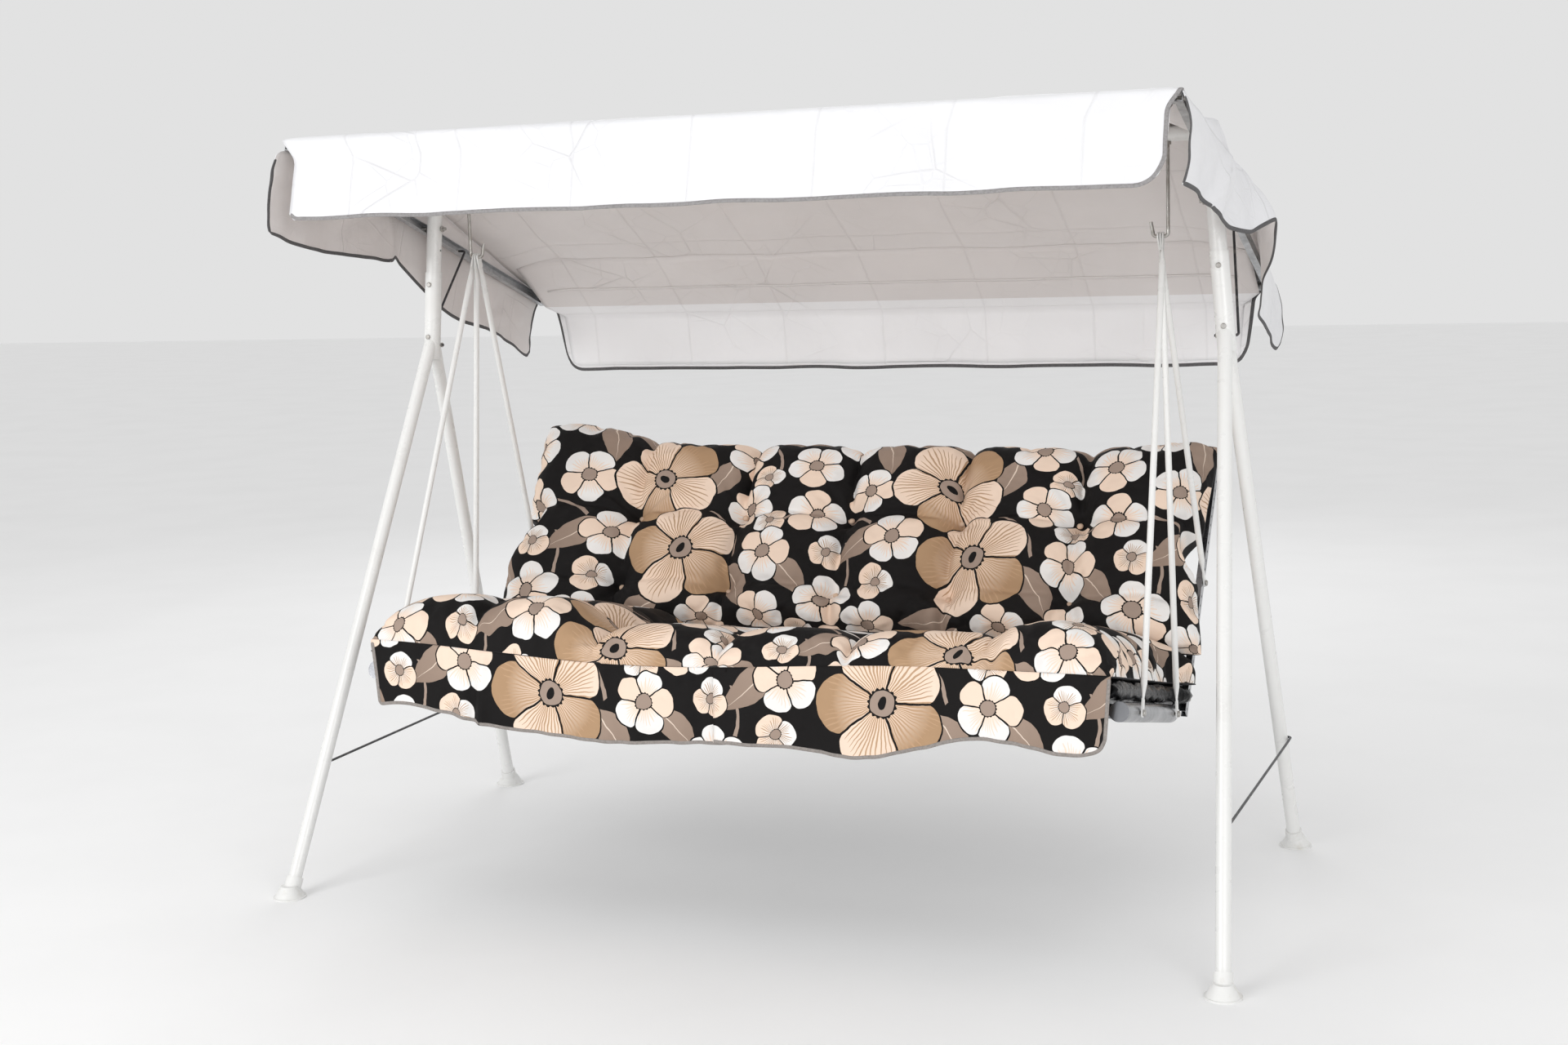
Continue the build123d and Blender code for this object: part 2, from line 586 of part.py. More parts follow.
def back_side():
    """Channel, open inwards, with a row of holes in its web."""
    depth = (-BACK_HALF_DEPTH, BACK_HALF_DEPTH)
    inner = (-BACK_HALF_DEPTH + BACK_WALL, BACK_HALF_DEPTH - BACK_WALL)
    shape = block(BACK_X, depth, BACK_SPAN)
    shape -= block((BACK_X[0] - 1, BACK_X[1] - BACK_WALL), inner, (BACK_SPAN[0] - 1, BACK_SPAN[1] + 1))
    shape -= [along_x(*BACK_X, 0.0, z, BOLT_R + FIT) for z in (0.0, BRACKET_BOLT)]
    count = int((BACK_SPAN[1] - BACK_SPAN[0]) / PERFORATION_PITCH)
    heights = [BACK_SPAN[0] + PERFORATION_PITCH * (index + 0.5) for index in range(count)]
    clear = [z for z in heights if min(abs(z), abs(z - BRACKET_BOLT)) > 20.0]
    return shape - [along_x(*BACK_X, 0.0, z, PERFORATION_R) for z in clear]


def back_rail(z):
    half = BACK_X[1] - BACK_WALL - 0.2
    return along_x(-half, half, 0.0, z, BACK_RAIL_R) - along_x(-half, half, 0.0, z, BACK_RAIL_R - LEG_WALL)


def back_slats():
    y = (-BACK_RAIL_R - 0.05 - SLAT_THICKNESS, -BACK_RAIL_R - 0.05)
    z = tuple(BACK_RAIL_AT.values())
    return [block((x - SLAT_WIDTH / 2, x + SLAT_WIDTH / 2), y, z) for x in slat_places()]


save_pair("back_side", BACK * back_side())
for rail_name, rail_z in BACK_RAIL_AT.items():
    save(rail_name, BACK * back_rail(rail_z))
save("back_slats", *[BACK * slat for slat in back_slats()])

# ---------------------------------------------------------------- seat fasteners
OUTER_FACE_X = HANGER_FOOT_X + EYE_THICKNESS / 2 + 0.6
TUBE_BOLT_LENGTH = 56.0
HANGER_BOLT_LENGTH = 18.0
BRACKET_BOLT_LENGTH = 29.0


def bolt_along_x(head_x, y, z, length):
    return bolt(Plane(origin=(head_x, y, z), z_dir=(1, 0, 0)), length)


def nut_along_x(x, y, z):
    return nut(Plane(origin=(x, y, z), z_dir=(-1, 0, 0)))


seat_bolts = [SEAT * bolt_along_x(OUTER_FACE_X, y, 0.0, TUBE_BOLT_LENGTH) for y in SEAT_BOLTS]
seat_bolts.append(BACK * bolt_along_x(OUTER_FACE_X, 0.0, 0.0, HANGER_BOLT_LENGTH))
seat_bolts.append(BACK * bolt_along_x(BACK_X[1] + FIT, 0.0, BRACKET_BOLT, BRACKET_BOLT_LENGTH))
save_both("seat_bolts", *seat_bolts)
seat_nuts = [SEAT * nut_along_x(SEAT_TUBE_X - SEAT_TUBE_R - FIT, y, 0.0) for y in SEAT_BOLTS]
seat_nuts.append(BACK * nut_along_x(BACK_X[1] - BACK_WALL - FIT, 0.0, 0.0))
seat_nuts.append(BACK * nut_along_x(BRACKET_X[0] - FIT, 0.0, BRACKET_BOLT))
save_both("seat_nuts", *seat_nuts)


# ---------------------------------------------------------------- cushions and skirt
def padded_block(size, softness):
    shape = block((-size["x"], size["x"]), size["y"], size["z"])
    return fillet(shape.edges(), softness)


def skirt(x0, x1):
    """Flat panel that hangs from the cushion's front seam."""
    thick = SKIRT_THICKNESS
    outline = [SKIRT_TOP, (SKIRT_TOP[0] + thick, SKIRT_TOP[1])]
    outline += [(SKIRT_BOTTOM[0] + thick, SKIRT_BOTTOM[1]), SKIRT_BOTTOM]
    return prism(outline, x0, x1)


save("seat_cushion", SEAT * padded_block(SEAT_CUSHION, CUSHION_ROUND))
save("seat_underside_pad", SEAT * padded_block(SEAT_PAD, PAD_ROUND))
save("back_cushion", BACK * padded_block(BACK_CUSHION, CUSHION_ROUND))
save("skirt_right", skirt(SKIRT_SPLIT, SKIRT_HALF))
save("skirt_left", skirt(-SKIRT_HALF, -SKIRT_SPLIT))
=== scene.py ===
"""Looks of a canopy swing bench: metres, +X right seen from the front, -Y front, +Z up, floor at Z = 0."""

import json
from math import atan2, cos, pi, radians, sin

import bmesh
import bpy
import numpy as np
from mathutils import Matrix, Vector


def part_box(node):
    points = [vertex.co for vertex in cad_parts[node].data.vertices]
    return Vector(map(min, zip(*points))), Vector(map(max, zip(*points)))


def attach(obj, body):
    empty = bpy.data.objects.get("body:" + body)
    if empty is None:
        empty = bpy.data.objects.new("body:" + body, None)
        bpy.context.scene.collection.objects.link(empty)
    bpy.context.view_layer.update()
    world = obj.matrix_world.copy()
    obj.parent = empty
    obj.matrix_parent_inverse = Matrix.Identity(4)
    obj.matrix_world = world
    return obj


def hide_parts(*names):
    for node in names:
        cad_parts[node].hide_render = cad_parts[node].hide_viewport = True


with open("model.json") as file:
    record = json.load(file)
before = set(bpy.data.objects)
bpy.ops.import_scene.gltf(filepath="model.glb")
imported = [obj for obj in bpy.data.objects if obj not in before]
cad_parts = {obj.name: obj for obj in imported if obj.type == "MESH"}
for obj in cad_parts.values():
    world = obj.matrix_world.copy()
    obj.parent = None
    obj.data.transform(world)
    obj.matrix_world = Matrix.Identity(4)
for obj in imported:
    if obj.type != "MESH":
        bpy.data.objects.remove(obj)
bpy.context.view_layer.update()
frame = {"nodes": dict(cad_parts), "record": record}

# ---------------------------------------------------------------- sizes
SEAT_TILT = radians(13.13)  # the seat falls to the back
BACK_TILT = radians(39.4 - 90.0)  # the backrest, as a seat turned up on its rear edge
CLOTH_STEP = 0.0095  # grid of the cushions' cloth
CANOPY_STEP = 0.014
CANOPY_CLOTH = 0.0014
TAPE_WIDTH = 0.0085  # of the dark binding on the canopy's free edges
SEAM_ROWS = 17  # rows of the cover's grid between the rear corner and the seam ahead of it
TUFT_COLUMNS = (-0.60, -0.295, 0.0, 0.295, 0.60)
BACK_TUFT_ROWS = (0.024, -0.186)
SEAT_TUFT_ROWS = (-0.10, 0.13)
BACK_SIZE = (0.902, 0.288, 0.050)  # half width, half height and half thickness
SEAT_SIZE = (0.868, 0.354, 0.052)
PAD_SIZE = (0.880, 0.330, 0.024)
PRINT_REPEAT = (0.784, 0.66)


def middle(node):
    low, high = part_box(node)
    return (low + high) / 2


# ---------------------------------------------------------------- small maths
def smooth(value):
    value = np.clip(value, 0.0, 1.0)
    return value * value * (3.0 - 2.0 * value)


def ripple(x, y, seed, wavelengths, directions=(0.0, pi)):
    """Smooth irregular waves of height about 1: many sines of seeded direction and phase."""
    draw = np.random.default_rng(seed)
    total = np.zeros_like(x)
    count = 9
    for _ in range(count):
        angle = draw.uniform(*directions)
        length = draw.uniform(*wavelengths)
        phase = draw.uniform(0.0, 2.0 * pi)
        total += np.sin(2.0 * pi * (x * cos(angle) + y * sin(angle)) / length + phase)
    return total / count ** 0.5


def run_lengths(points):
    """Distance along a line of points, from the first one to each."""
    return np.concatenate([[0.0], np.cumsum(np.linalg.norm(np.diff(points, axis=0), axis=1))])


def through(points, count):
    """Smooth curve through a few points, sampled evenly by the distance between them."""
    points = np.array(points, float)
    at = run_lengths(points)
    spans = np.diff(at)
    slopes = np.gradient(points, at, axis=0)
    where = np.linspace(0.0, at[-1], count)
    index = np.clip(np.searchsorted(at, where, side="right") - 1, 0, len(spans) - 1)
    span = spans[index][:, None]
    share = ((where - at[index]) / spans[index])[:, None]
    start, end = points[index], points[index + 1]
    lead, trail = slopes[index] * span, slopes[index + 1] * span
    cube, square = share ** 3, share ** 2
    return (
        (2 * cube - 3 * square + 1) * start
        + (cube - 2 * square + share) * lead
        + (3 * square - 2 * cube) * end
        + (cube - square) * trail
    )


def filleted(points, radii, step):
    """Polyline in a plane with its inner corners rounded, sampled about every step."""
    points = [np.array(point, float) for point in points]
    path = [points[0]]
    for before, corner, after, radius in zip(points, points[1:], points[2:], radii):
        into = (corner - before) / np.linalg.norm(corner - before)
        out = (after - corner) / np.linalg.norm(after - corner)
        turn = atan2(into[0] * out[1] - into[1] * out[0], into @ out)
        cut = radius * abs(np.tan(turn / 2.0))
        side = np.array([-into[1], into[0]]) * np.sign(turn)
        centre = corner - into * cut + side * radius
        arc_steps = max(4, int(abs(turn) * radius / (0.3 * step)))
        for share in np.linspace(0.0, 1.0, arc_steps + 1):
            angle = abs(turn) * share
            path.append(centre - side * radius * cos(angle) + into * radius * sin(angle))
    path.append(points[-1])
    dense = [path[0]]
    for start, end in zip(path, path[1:]):
        pieces = max(1, round(np.linalg.norm(end - start) / step))
        dense += [start + (end - start) * (k + 1) / pieces for k in range(pieces)]
    return np.array(dense)


# ---------------------------------------------------------------- meshes
def grid_faces(columns, rows, flip=False):
    faces = []
    for i in range(columns - 1):
        for j in range(rows - 1):
            quad = [i * rows + j, (i + 1) * rows + j, (i + 1) * rows + j + 1, i * rows + j + 1]
            faces.append(quad[::-1] if flip else quad)
    return faces


def new_piece(name, points, faces, materials, flat=None, slots=None):
    """Mesh object. flat gives each vertex's place on the cloth, in metres, as its UV."""
    mesh = bpy.data.meshes.new(name)
    mesh.from_pydata([tuple(point) for point in points], [], faces)
    if flat is not None:
        layer = mesh.uv_layers.new(name="cloth")
        corners = np.zeros(len(mesh.loops), np.int32)
        mesh.loops.foreach_get("vertex_index", corners)
        layer.data.foreach_set("uv", np.asarray(flat, np.float32)[corners].ravel())
    for each in materials:
        mesh.materials.append(each)
    if slots is not None:
        mesh.polygons.foreach_set("material_index", np.asarray(slots, np.int32))
    mesh.polygons.foreach_set("use_smooth", [True] * len(mesh.polygons))
    mesh.update()
    piece = bpy.data.objects.new(name, mesh)
    bpy.context.scene.collection.objects.link(piece)
    return piece


def grid_normals(grid):
    across = np.gradient(grid, axis=0)
    along = np.gradient(grid, axis=1)
    normals = np.cross(across, along)
    return normals / np.linalg.norm(normals, axis=2, keepdims=True)


def cloth_sheet(name, grid, flat, outer, inner, thickness):
    """Sheet of cloth with its own thickness, one finish outside and one inside."""
    faces = grid_faces(*grid.shape[:2])
    piece = new_piece(name, grid.reshape(-1, 3), faces, [outer, inner], flat.reshape(-1, 2))
    solid = piece.modifiers.new("thickness", "SOLIDIFY")
    solid.thickness = thickness
    solid.offset = 0.0
    solid.material_offset = 1
    return piece


def rod_faces(corners, length):
    """Faces of a rod with closed ends: each corner of its section runs through length points."""
    faces = []
    for k in range(corners):
        here, after = k * length, (k + 1) % corners * length
        faces += [[here + i, here + i + 1, after + i + 1, after + i] for i in range(length - 1)]
    faces.append([k * length for k in range(corners)])
    faces.append([(k + 1) * length - 1 for k in reversed(range(corners))])
    return faces


def belongs(piece, body, slot, *nodes):
    """Says which body a piece rides on and which CAD nodes it stands for; the slot, for the finish it takes,
    is not used.
    """
    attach(piece, body)
    if nodes:
        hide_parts(*nodes)
    return piece


def binding(name, grid, places, width, material, body, slot):
    """Folded tape along an edge of a cloth grid: places are the edge's grid indices, in order."""
    normals = grid_normals(grid)
    edge = np.array([grid[place] for place in places])
    normal = np.array([normals[place] for place in places])
    along = np.gradient(edge, axis=0)
    along /= np.linalg.norm(along, axis=1, keepdims=True)
    inward = np.cross(normal, along)
    step_in = np.array([grid[inside(place, grid.shape)] for place in places]) - edge
    inward *= np.sign(np.einsum("ij,ij->i", inward, step_in))[:, None]
    half, fold = 0.0016, 0.0014  # half thickness, and how far the fold passes the cloth's edge
    section = [(-fold, 0.0), (0.0, half), (0.5 * width, 1.25 * half), (width, half)]
    section += [(width, -half), (0.5 * width, -1.25 * half), (0.0, -half)]
    rings = np.array([edge + inward * reach + normal * rise for reach, rise in section])
    piece = new_piece(name, rings.reshape(-1, 3), rod_faces(len(section), len(edge)), [material])
    join_doubles(piece)
    soften(piece)
    return belongs(piece, body, slot)


def inside(place, shape):
    """Grid index one or two steps in from an edge index."""
    column = min(max(place[0], 2), shape[0] - 3)
    row = min(max(place[1], 2), shape[1] - 3)
    return column, row


def join_doubles(piece, distance=1e-5, outward=True):
    """Joins points that coincide, and turns the faces outward."""
    work = bmesh.new()
    work.from_mesh(piece.data)
    bmesh.ops.remove_doubles(work, verts=work.verts, dist=distance)
    if outward:
        bmesh.ops.recalc_face_normals(work, faces=work.faces)
    work.to_mesh(piece.data)
    work.free()


def soften(piece):
    subdivision = piece.modifiers.new("smooth", "SUBSURF")
    subdivision.levels = subdivision.render_levels = 1


# ---------------------------------------------------------------- shader building
class Shader:
    """Writes nodes into one tree, linking sockets and setting plain values."""

    def __init__(self, tree):
        self.tree = tree

    def put(self, socket, value):
        if isinstance(value, bpy.types.NodeSocket):
            self.tree.links.new(value, socket)
        elif value is not None:
            socket.default_value = value

    def node(self, kind, values=(), **settings):
        made = self.tree.nodes.new(kind)
        for name, value in settings.items():
            setattr(made, name, value)
        pairs = values.items() if isinstance(values, dict) else enumerate(values)
        for key, value in pairs:
            self.put(made.inputs[key], value)
        return made

    def math(self, operation, *values):
        return self.node("ShaderNodeMath", values, operation=operation).outputs[0]

    def vector(self, operation, *values):
        return self.node("ShaderNodeVectorMath", values, operation=operation).outputs[0]

    def mix(self, share, first, second, blend="MIX"):
        made = self.node("ShaderNodeMix", data_type="RGBA", blend_type=blend)
        self.put(made.inputs[0], share)
        self.put(made.inputs[6], first)
        self.put(made.inputs[7], second)
        return made.outputs[2]

    def ramp(self, value, low, high, to_low=0.0, to_high=1.0):
        return self.node("ShaderNodeMapRange", (value, low, high, to_low, to_high)).outputs[0]

    def noise(self, place, scale, detail=2.0, **settings):
        values = {"Vector": place, "Scale": scale, "Detail": detail}
        return self.node("ShaderNodeTexNoise", values, **settings)

    def bump(self, height, strength, distance, normal=None):
        values = {"Height": height, "Strength": strength, "Distance": distance, "Normal": normal}
        return self.node("ShaderNodeBump", values).outputs[0]


def material(name, colour, roughness, **sockets):
    """Principled material. Returns it with its shader and its principled node."""
    made = bpy.data.materials.new(name)
    made.use_nodes = True
    principled = made.node_tree.nodes["Principled BSDF"]
    principled.inputs["Base Color"].default_value = (*colour, 1.0)
    principled.inputs["Roughness"].default_value = roughness
    for key, value in sockets.items():
        principled.inputs[key.replace("_", " ")].default_value = value
    return made, Shader(made.node_tree), principled


def object_place(shader):
    return shader.node("ShaderNodeTexCoord").outputs["Object"]


def vary(shader, principled, colour, other, scale, low=0.4, high=0.7):
    """Drifts the base colour towards another in patches."""
    patches = shader.noise(object_place(shader), scale, 4.0).outputs[0]
    drifted = shader.mix(shader.ramp(patches, low, high), (*colour, 1), (*other, 1))
    shader.put(principled.inputs["Base Color"], drifted)


def rough_patches(shader, principled, scale, low, high):
    patches = shader.noise(object_place(shader), scale, 3.0).outputs[0]
    shader.put(principled.inputs["Roughness"], shader.ramp(patches, 0.3, 0.7, low, high))


def grain(shader, principled, scale, strength, distance):
    height = shader.noise(object_place(shader), scale, 3.0).outputs[0]
    shader.put(principled.inputs["Normal"], shader.bump(height, strength, distance))


def white_paint():
    colour, scuffed = (0.80, 0.80, 0.785), (0.745, 0.735, 0.715)
    made, shader, principled = material("white_paint", colour, 0.3, Coat_Weight=0.35, Coat_Roughness=0.12)
    vary(shader, principled, colour, scuffed, 9.0, 0.58, 0.85)
    rough_patches(shader, principled, 30.0, 0.24, 0.4)
    grain(shader, principled, 160.0, 0.12, 0.0006)
    return made


def white_plastic():
    colour, dusty = (0.78, 0.78, 0.765), (0.66, 0.64, 0.60)
    made, shader, principled = material("white_plastic", colour, 0.5)
    vary(shader, principled, colour, dusty, 40.0, 0.55, 0.8)
    rough_patches(shader, principled, 60.0, 0.42, 0.6)
    grain(shader, principled, 300.0, 0.2, 0.0008)
    return made


def metal(name, colour, other, rough_low, rough_high, patch_scale):
    made, shader, principled = material(name, colour, 0.3, Metallic=1.0)
    vary(shader, principled, colour, other, patch_scale, 0.35, 0.7)
    rough_patches(shader, principled, patch_scale * 2.0, rough_low, rough_high)
    grain(shader, principled, 250.0, 0.15, 0.0005)
    return made


def dark_rod():
    colour, worn = (0.055, 0.055, 0.06), (0.16, 0.15, 0.14)
    made, shader, principled = material("dark_rod", colour, 0.4, Metallic=0.6)
    vary(shader, principled, colour, worn, 60.0, 0.5, 0.8)
    grain(shader, principled, 300.0, 0.25, 0.0006)
    return made


def cloth_place(shader):
    return shader.node("ShaderNodeUVMap", uv_map="cloth").outputs[0]


def creased(shader, place, scale, width, strength):
    """Lines between the cells of a Voronoi pattern, like creases in coated cloth."""
    values = {"Vector": place, "Scale": scale}
    cells = shader.node("ShaderNodeTexVoronoi", values, feature="DISTANCE_TO_EDGE").outputs[0]
    return shader.ramp(cells, 0.0, width, strength, 0.0)


def canopy_cloth(name, colour, other):
    """Coated cloth: a fine weave under a satin coat, with soft storage folds and creases, and painted shade
    that darkens the colour along the folds and creases.
    """
    made, shader, principled = material(name, colour, 0.42, Sheen_Weight=0.1)
    math = shader.math
    place = cloth_place(shader)
    patches = shader.noise(place, 3.0, 3.0).outputs[0]
    base = shader.mix(shader.ramp(patches, 0.3, 0.75), (*colour, 1), (*other, 1))
    weave = shader.node("ShaderNodeTexBrick", {"Vector": place, "Scale": 700.0, "Mortar Size": 0.06})
    u, v = shader.node("ShaderNodeSeparateXYZ", (place,)).outputs[:2]
    folds = math("MINIMUM", math("PINGPONG", u, 0.142), math("PINGPONG", v, 0.118))
    folds = shader.ramp(folds, 0.0, 0.004, 1.0, 0.0)
    wide = creased(shader, place, 4.5, 0.014, 0.8)
    creases = math("MAXIMUM", wide, creased(shader, place, 9.0, 0.02, 0.35))
    here = shader.ramp(shader.noise(place, 3.1, 2.0).outputs[0], 0.45, 0.65)
    lines = math("MAXIMUM", math("MULTIPLY", folds, 0.6), math("MULTIPLY", creases, here))
    first = shader.bump(weave.outputs["Fac"], 0.08, 0.0003)
    second = shader.bump(shader.noise(place, 6.0, 3.0).outputs[0], 0.5, 0.02, first)
    shader.put(principled.inputs["Normal"], shader.bump(lines, 0.5, 0.004, second))
    # painted shade: the base colour is multiplied darker along the fold lines and creases
    worn = shader.mix(math("MULTIPLY", lines, 0.35), base, (0.80, 0.79, 0.79, 1.0), "MULTIPLY")
    shader.put(principled.inputs["Base Color"], worn)
    rough = shader.noise(place, 25.0, 3.0).outputs[0]
    shader.put(principled.inputs["Roughness"], shader.ramp(rough, 0.3, 0.7, 0.34, 0.5))
    return made


def binding_tape(name, colour, other):
    made, shader, principled = material(name, colour, 0.75)
    vary(shader, principled, colour, other, 220.0)
    grain(shader, principled, 900.0, 0.5, 0.0012)
    return made


# ---------------------------------------------------------------- the printed cloth
INK = (0.0085, 0.0075, 0.0075, 1.0)
WHITE = (0.84, 0.82, 0.80, 1.0)
PEACH = (0.86, 0.68, 0.55, 1.0)
STREAK = (0.50, 0.325, 0.20, 1.0)
TAN = (0.43, 0.275, 0.16, 1.0)
TAUPE = (0.36, 0.275, 0.225, 1.0)
PALE = (0.72, 0.60, 0.50, 1.0)


def spot_group():
    """Node group that keeps the nearer of two motifs: x and y in motif sizes, z the motif's turn."""
    tree = bpy.data.node_groups.new("spot", "ShaderNodeTree")
    for title in ("Place", "Centre", "Nearest"):
        tree.interface.new_socket(title, in_out="INPUT", socket_type="NodeSocketVector")
    for title in ("Turn", "Size"):
        tree.interface.new_socket(title, in_out="INPUT", socket_type="NodeSocketFloat")
    tree.interface.new_socket("Nearest", in_out="OUTPUT", socket_type="NodeSocketVector")
    shader = Shader(tree)
    given = shader.node("NodeGroupInput").outputs
    half = (PRINT_REPEAT[0] / 2, PRINT_REPEAT[1] / 2, 1.0)
    away = shader.vector("SUBTRACT", given["Place"], given["Centre"])
    away = shader.vector("WRAP", away, half, tuple(-each for each in half))
    turn = {"Vector": away, "Angle": given["Turn"]}
    turned = shader.node("ShaderNodeVectorRotate", turn, rotation_type="Z_AXIS")
    scaled = shader.node("ShaderNodeVectorMath", {0: turned.outputs[0]}, operation="SCALE")
    shader.put(scaled.inputs["Scale"], shader.math("DIVIDE", 1.0, given["Size"]))
    here = shader.node("ShaderNodeVectorMath", {0: scaled.outputs[0]}, operation="LENGTH").outputs["Value"]
    flat_best = shader.vector("MULTIPLY", given["Nearest"], (1.0, 1.0, 0.0))
    there = shader.node("ShaderNodeVectorMath", {0: flat_best}, operation="LENGTH").outputs["Value"]
    nearer = shader.math("LESS_THAN", here, there)
    lift = shader.node("ShaderNodeCombineXYZ", {"Z": given["Turn"]}).outputs[0]
    candidate = shader.vector("ADD", scaled.outputs[0], lift)
    pick = shader.node("ShaderNodeMix", data_type="VECTOR")
    shader.put(pick.inputs[0], nearer)
    shader.put(pick.inputs[4], given["Nearest"])
    shader.put(pick.inputs[5], candidate)
    shader.node("NodeGroupOutput", (pick.outputs[1],))
    return tree


def motif(name):
    """Empty node group for one kind of motif; returns its shader, inputs and motif coordinates."""
    tree = bpy.data.node_groups.new(name, "ShaderNodeTree")
    tree.interface.new_socket("Nearest", in_out="INPUT", socket_type="NodeSocketVector")
    tree.interface.new_socket("Ground", in_out="INPUT", socket_type="NodeSocketColor")
    tree.interface.new_socket("Colour", in_out="OUTPUT", socket_type="NodeSocketColor")
    shader = Shader(tree)
    sockets = shader.node("NodeGroupInput").outputs
    x, y, turn = shader.node("ShaderNodeSeparateXYZ", (sockets["Nearest"],)).outputs
    return shader, {"Ground": sockets["Ground"], "Turn": turn}, x, y


def finish_motif(shader, colour):
    shader.node("NodeGroupOutput", (colour,))
    return shader.tree


def flower(name, petals, rim, heart, streaks, odd, eye):
    """Round-petalled flower with inked outlines, tapering streaks and a scalloped middle."""
    shader, given, x, y = motif(name)
    math = shader.math
    radius = math("SQRT", math("ADD", math("MULTIPLY", x, x), math("MULTIPLY", y, y)))
    angle = math("ARCTAN2", y, x)
    half = petals / 2
    lobe = math("ABSOLUTE", math("COSINE", math("MULTIPLY", angle, half)))
    lean = math("SINE", math("ADD", angle, given["Turn"]))
    reach = math("MULTIPLY_ADD", math("POWER", lobe, 0.4), 0.36, 0.62)
    reach = math("MULTIPLY_ADD", lean, 0.05, reach)

    share = math("MULTIPLY_ADD", angle, petals / (2 * pi), 0.5)
    number = math("FLOOR", share)
    pick = math("SINE", math("MULTIPLY_ADD", number, 2.4, math("MULTIPLY", given["Turn"], 9.0)))
    odd_petal = math("GREATER_THAN", pick, 0.45)
    outer = shader.mix(odd_petal, rim, odd)
    petal = shader.mix(shader.ramp(radius, 0.2, 0.72 if eye else 0.6), heart, outer)

    wander = math("SINE", math("MULTIPLY_ADD", angle, 7.3, 1.7))
    swirl = math("MULTIPLY", wander, 2.0)
    comb = math("SINE", math("MULTIPLY_ADD", angle, 66.0 if eye else 42.0, swirl))
    spread = (0.24, 0.92, -0.35, 1.2) if eye else (0.24, 0.78, -0.2, 1.25)
    limit = math("MULTIPLY_ADD", wander, -0.22, shader.ramp(radius, *spread))
    petal = shader.mix(math("GREATER_THAN", comb, limit), petal, streaks)

    ink = math("GREATER_THAN", radius, math("SUBTRACT", reach, 0.03 if eye else 0.045))
    between = math("LESS_THAN", math("MULTIPLY", radius, lobe), 0.016 * half if eye else 0.022 * half)
    petal = shader.mix(math("MAXIMUM", ink, between), petal, INK)

    scallop = math("SINE", math("MULTIPLY", angle, 17.0))
    ring = math("LESS_THAN", radius, math("MULTIPLY_ADD", scallop, 0.012, 0.215 if eye else 0.25))
    petal = shader.mix(ring, petal, INK)
    petal = shader.mix(math("LESS_THAN", radius, 0.185 if eye else 0.215), petal, TAUPE)
    if eye:
        oval = math("ADD", math("MULTIPLY", x, x), math("MULTIPLY", math("MULTIPLY", y, y), 2.6))
        petal = shader.mix(math("LESS_THAN", oval, 0.0095), petal, INK)
    whole = math("LESS_THAN", radius, reach)
    return finish_motif(shader, shader.mix(whole, given["Ground"], petal))


def leaf():
    """Pointed leaf with an inked edge and a pale rib."""
    shader, given, x, y = motif("leaf")
    math = shader.math
    bend = math("MULTIPLY_ADD", math("MULTIPLY", x, x), 0.16, y)
    square = math("MULTIPLY", x, x)
    width = math("MULTIPLY", math("SUBTRACT", 1.0, square), math("MULTIPLY_ADD", x, -0.16, 0.46))
    inside_leaf = math("LESS_THAN", math("ABSOLUTE", bend), width)
    inside_leaf = math("MULTIPLY", inside_leaf, math("LESS_THAN", square, 1.0))
    colour = shader.mix(shader.ramp(x, -1.0, 1.0), (0.36, 0.27, 0.215, 1.0), (0.28, 0.205, 0.16, 1.0))
    rib_width = math("MULTIPLY_ADD", x, -0.016, 0.014)
    rib = math("LESS_THAN", math("ABSOLUTE", bend), rib_width)
    return finish_motif(shader, shader.mix(inside_leaf, given["Ground"], shader.mix(rib, colour, PALE)))


def stem():
    """Curved stalk, a little thicker at one end."""
    shader, given, x, y = motif("stem")
    math = shader.math
    bend = math("MULTIPLY_ADD", math("MULTIPLY", x, x), 0.3, y)
    thin = math("LESS_THAN", math("ABSOLUTE", bend), math("MULTIPLY_ADD", x, 0.018, 0.05))
    short = math("LESS_THAN", math("ABSOLUTE", x), 1.0)
    return finish_motif(shader, shader.mix(math("MULTIPLY", thin, short), given["Ground"], TAUPE))


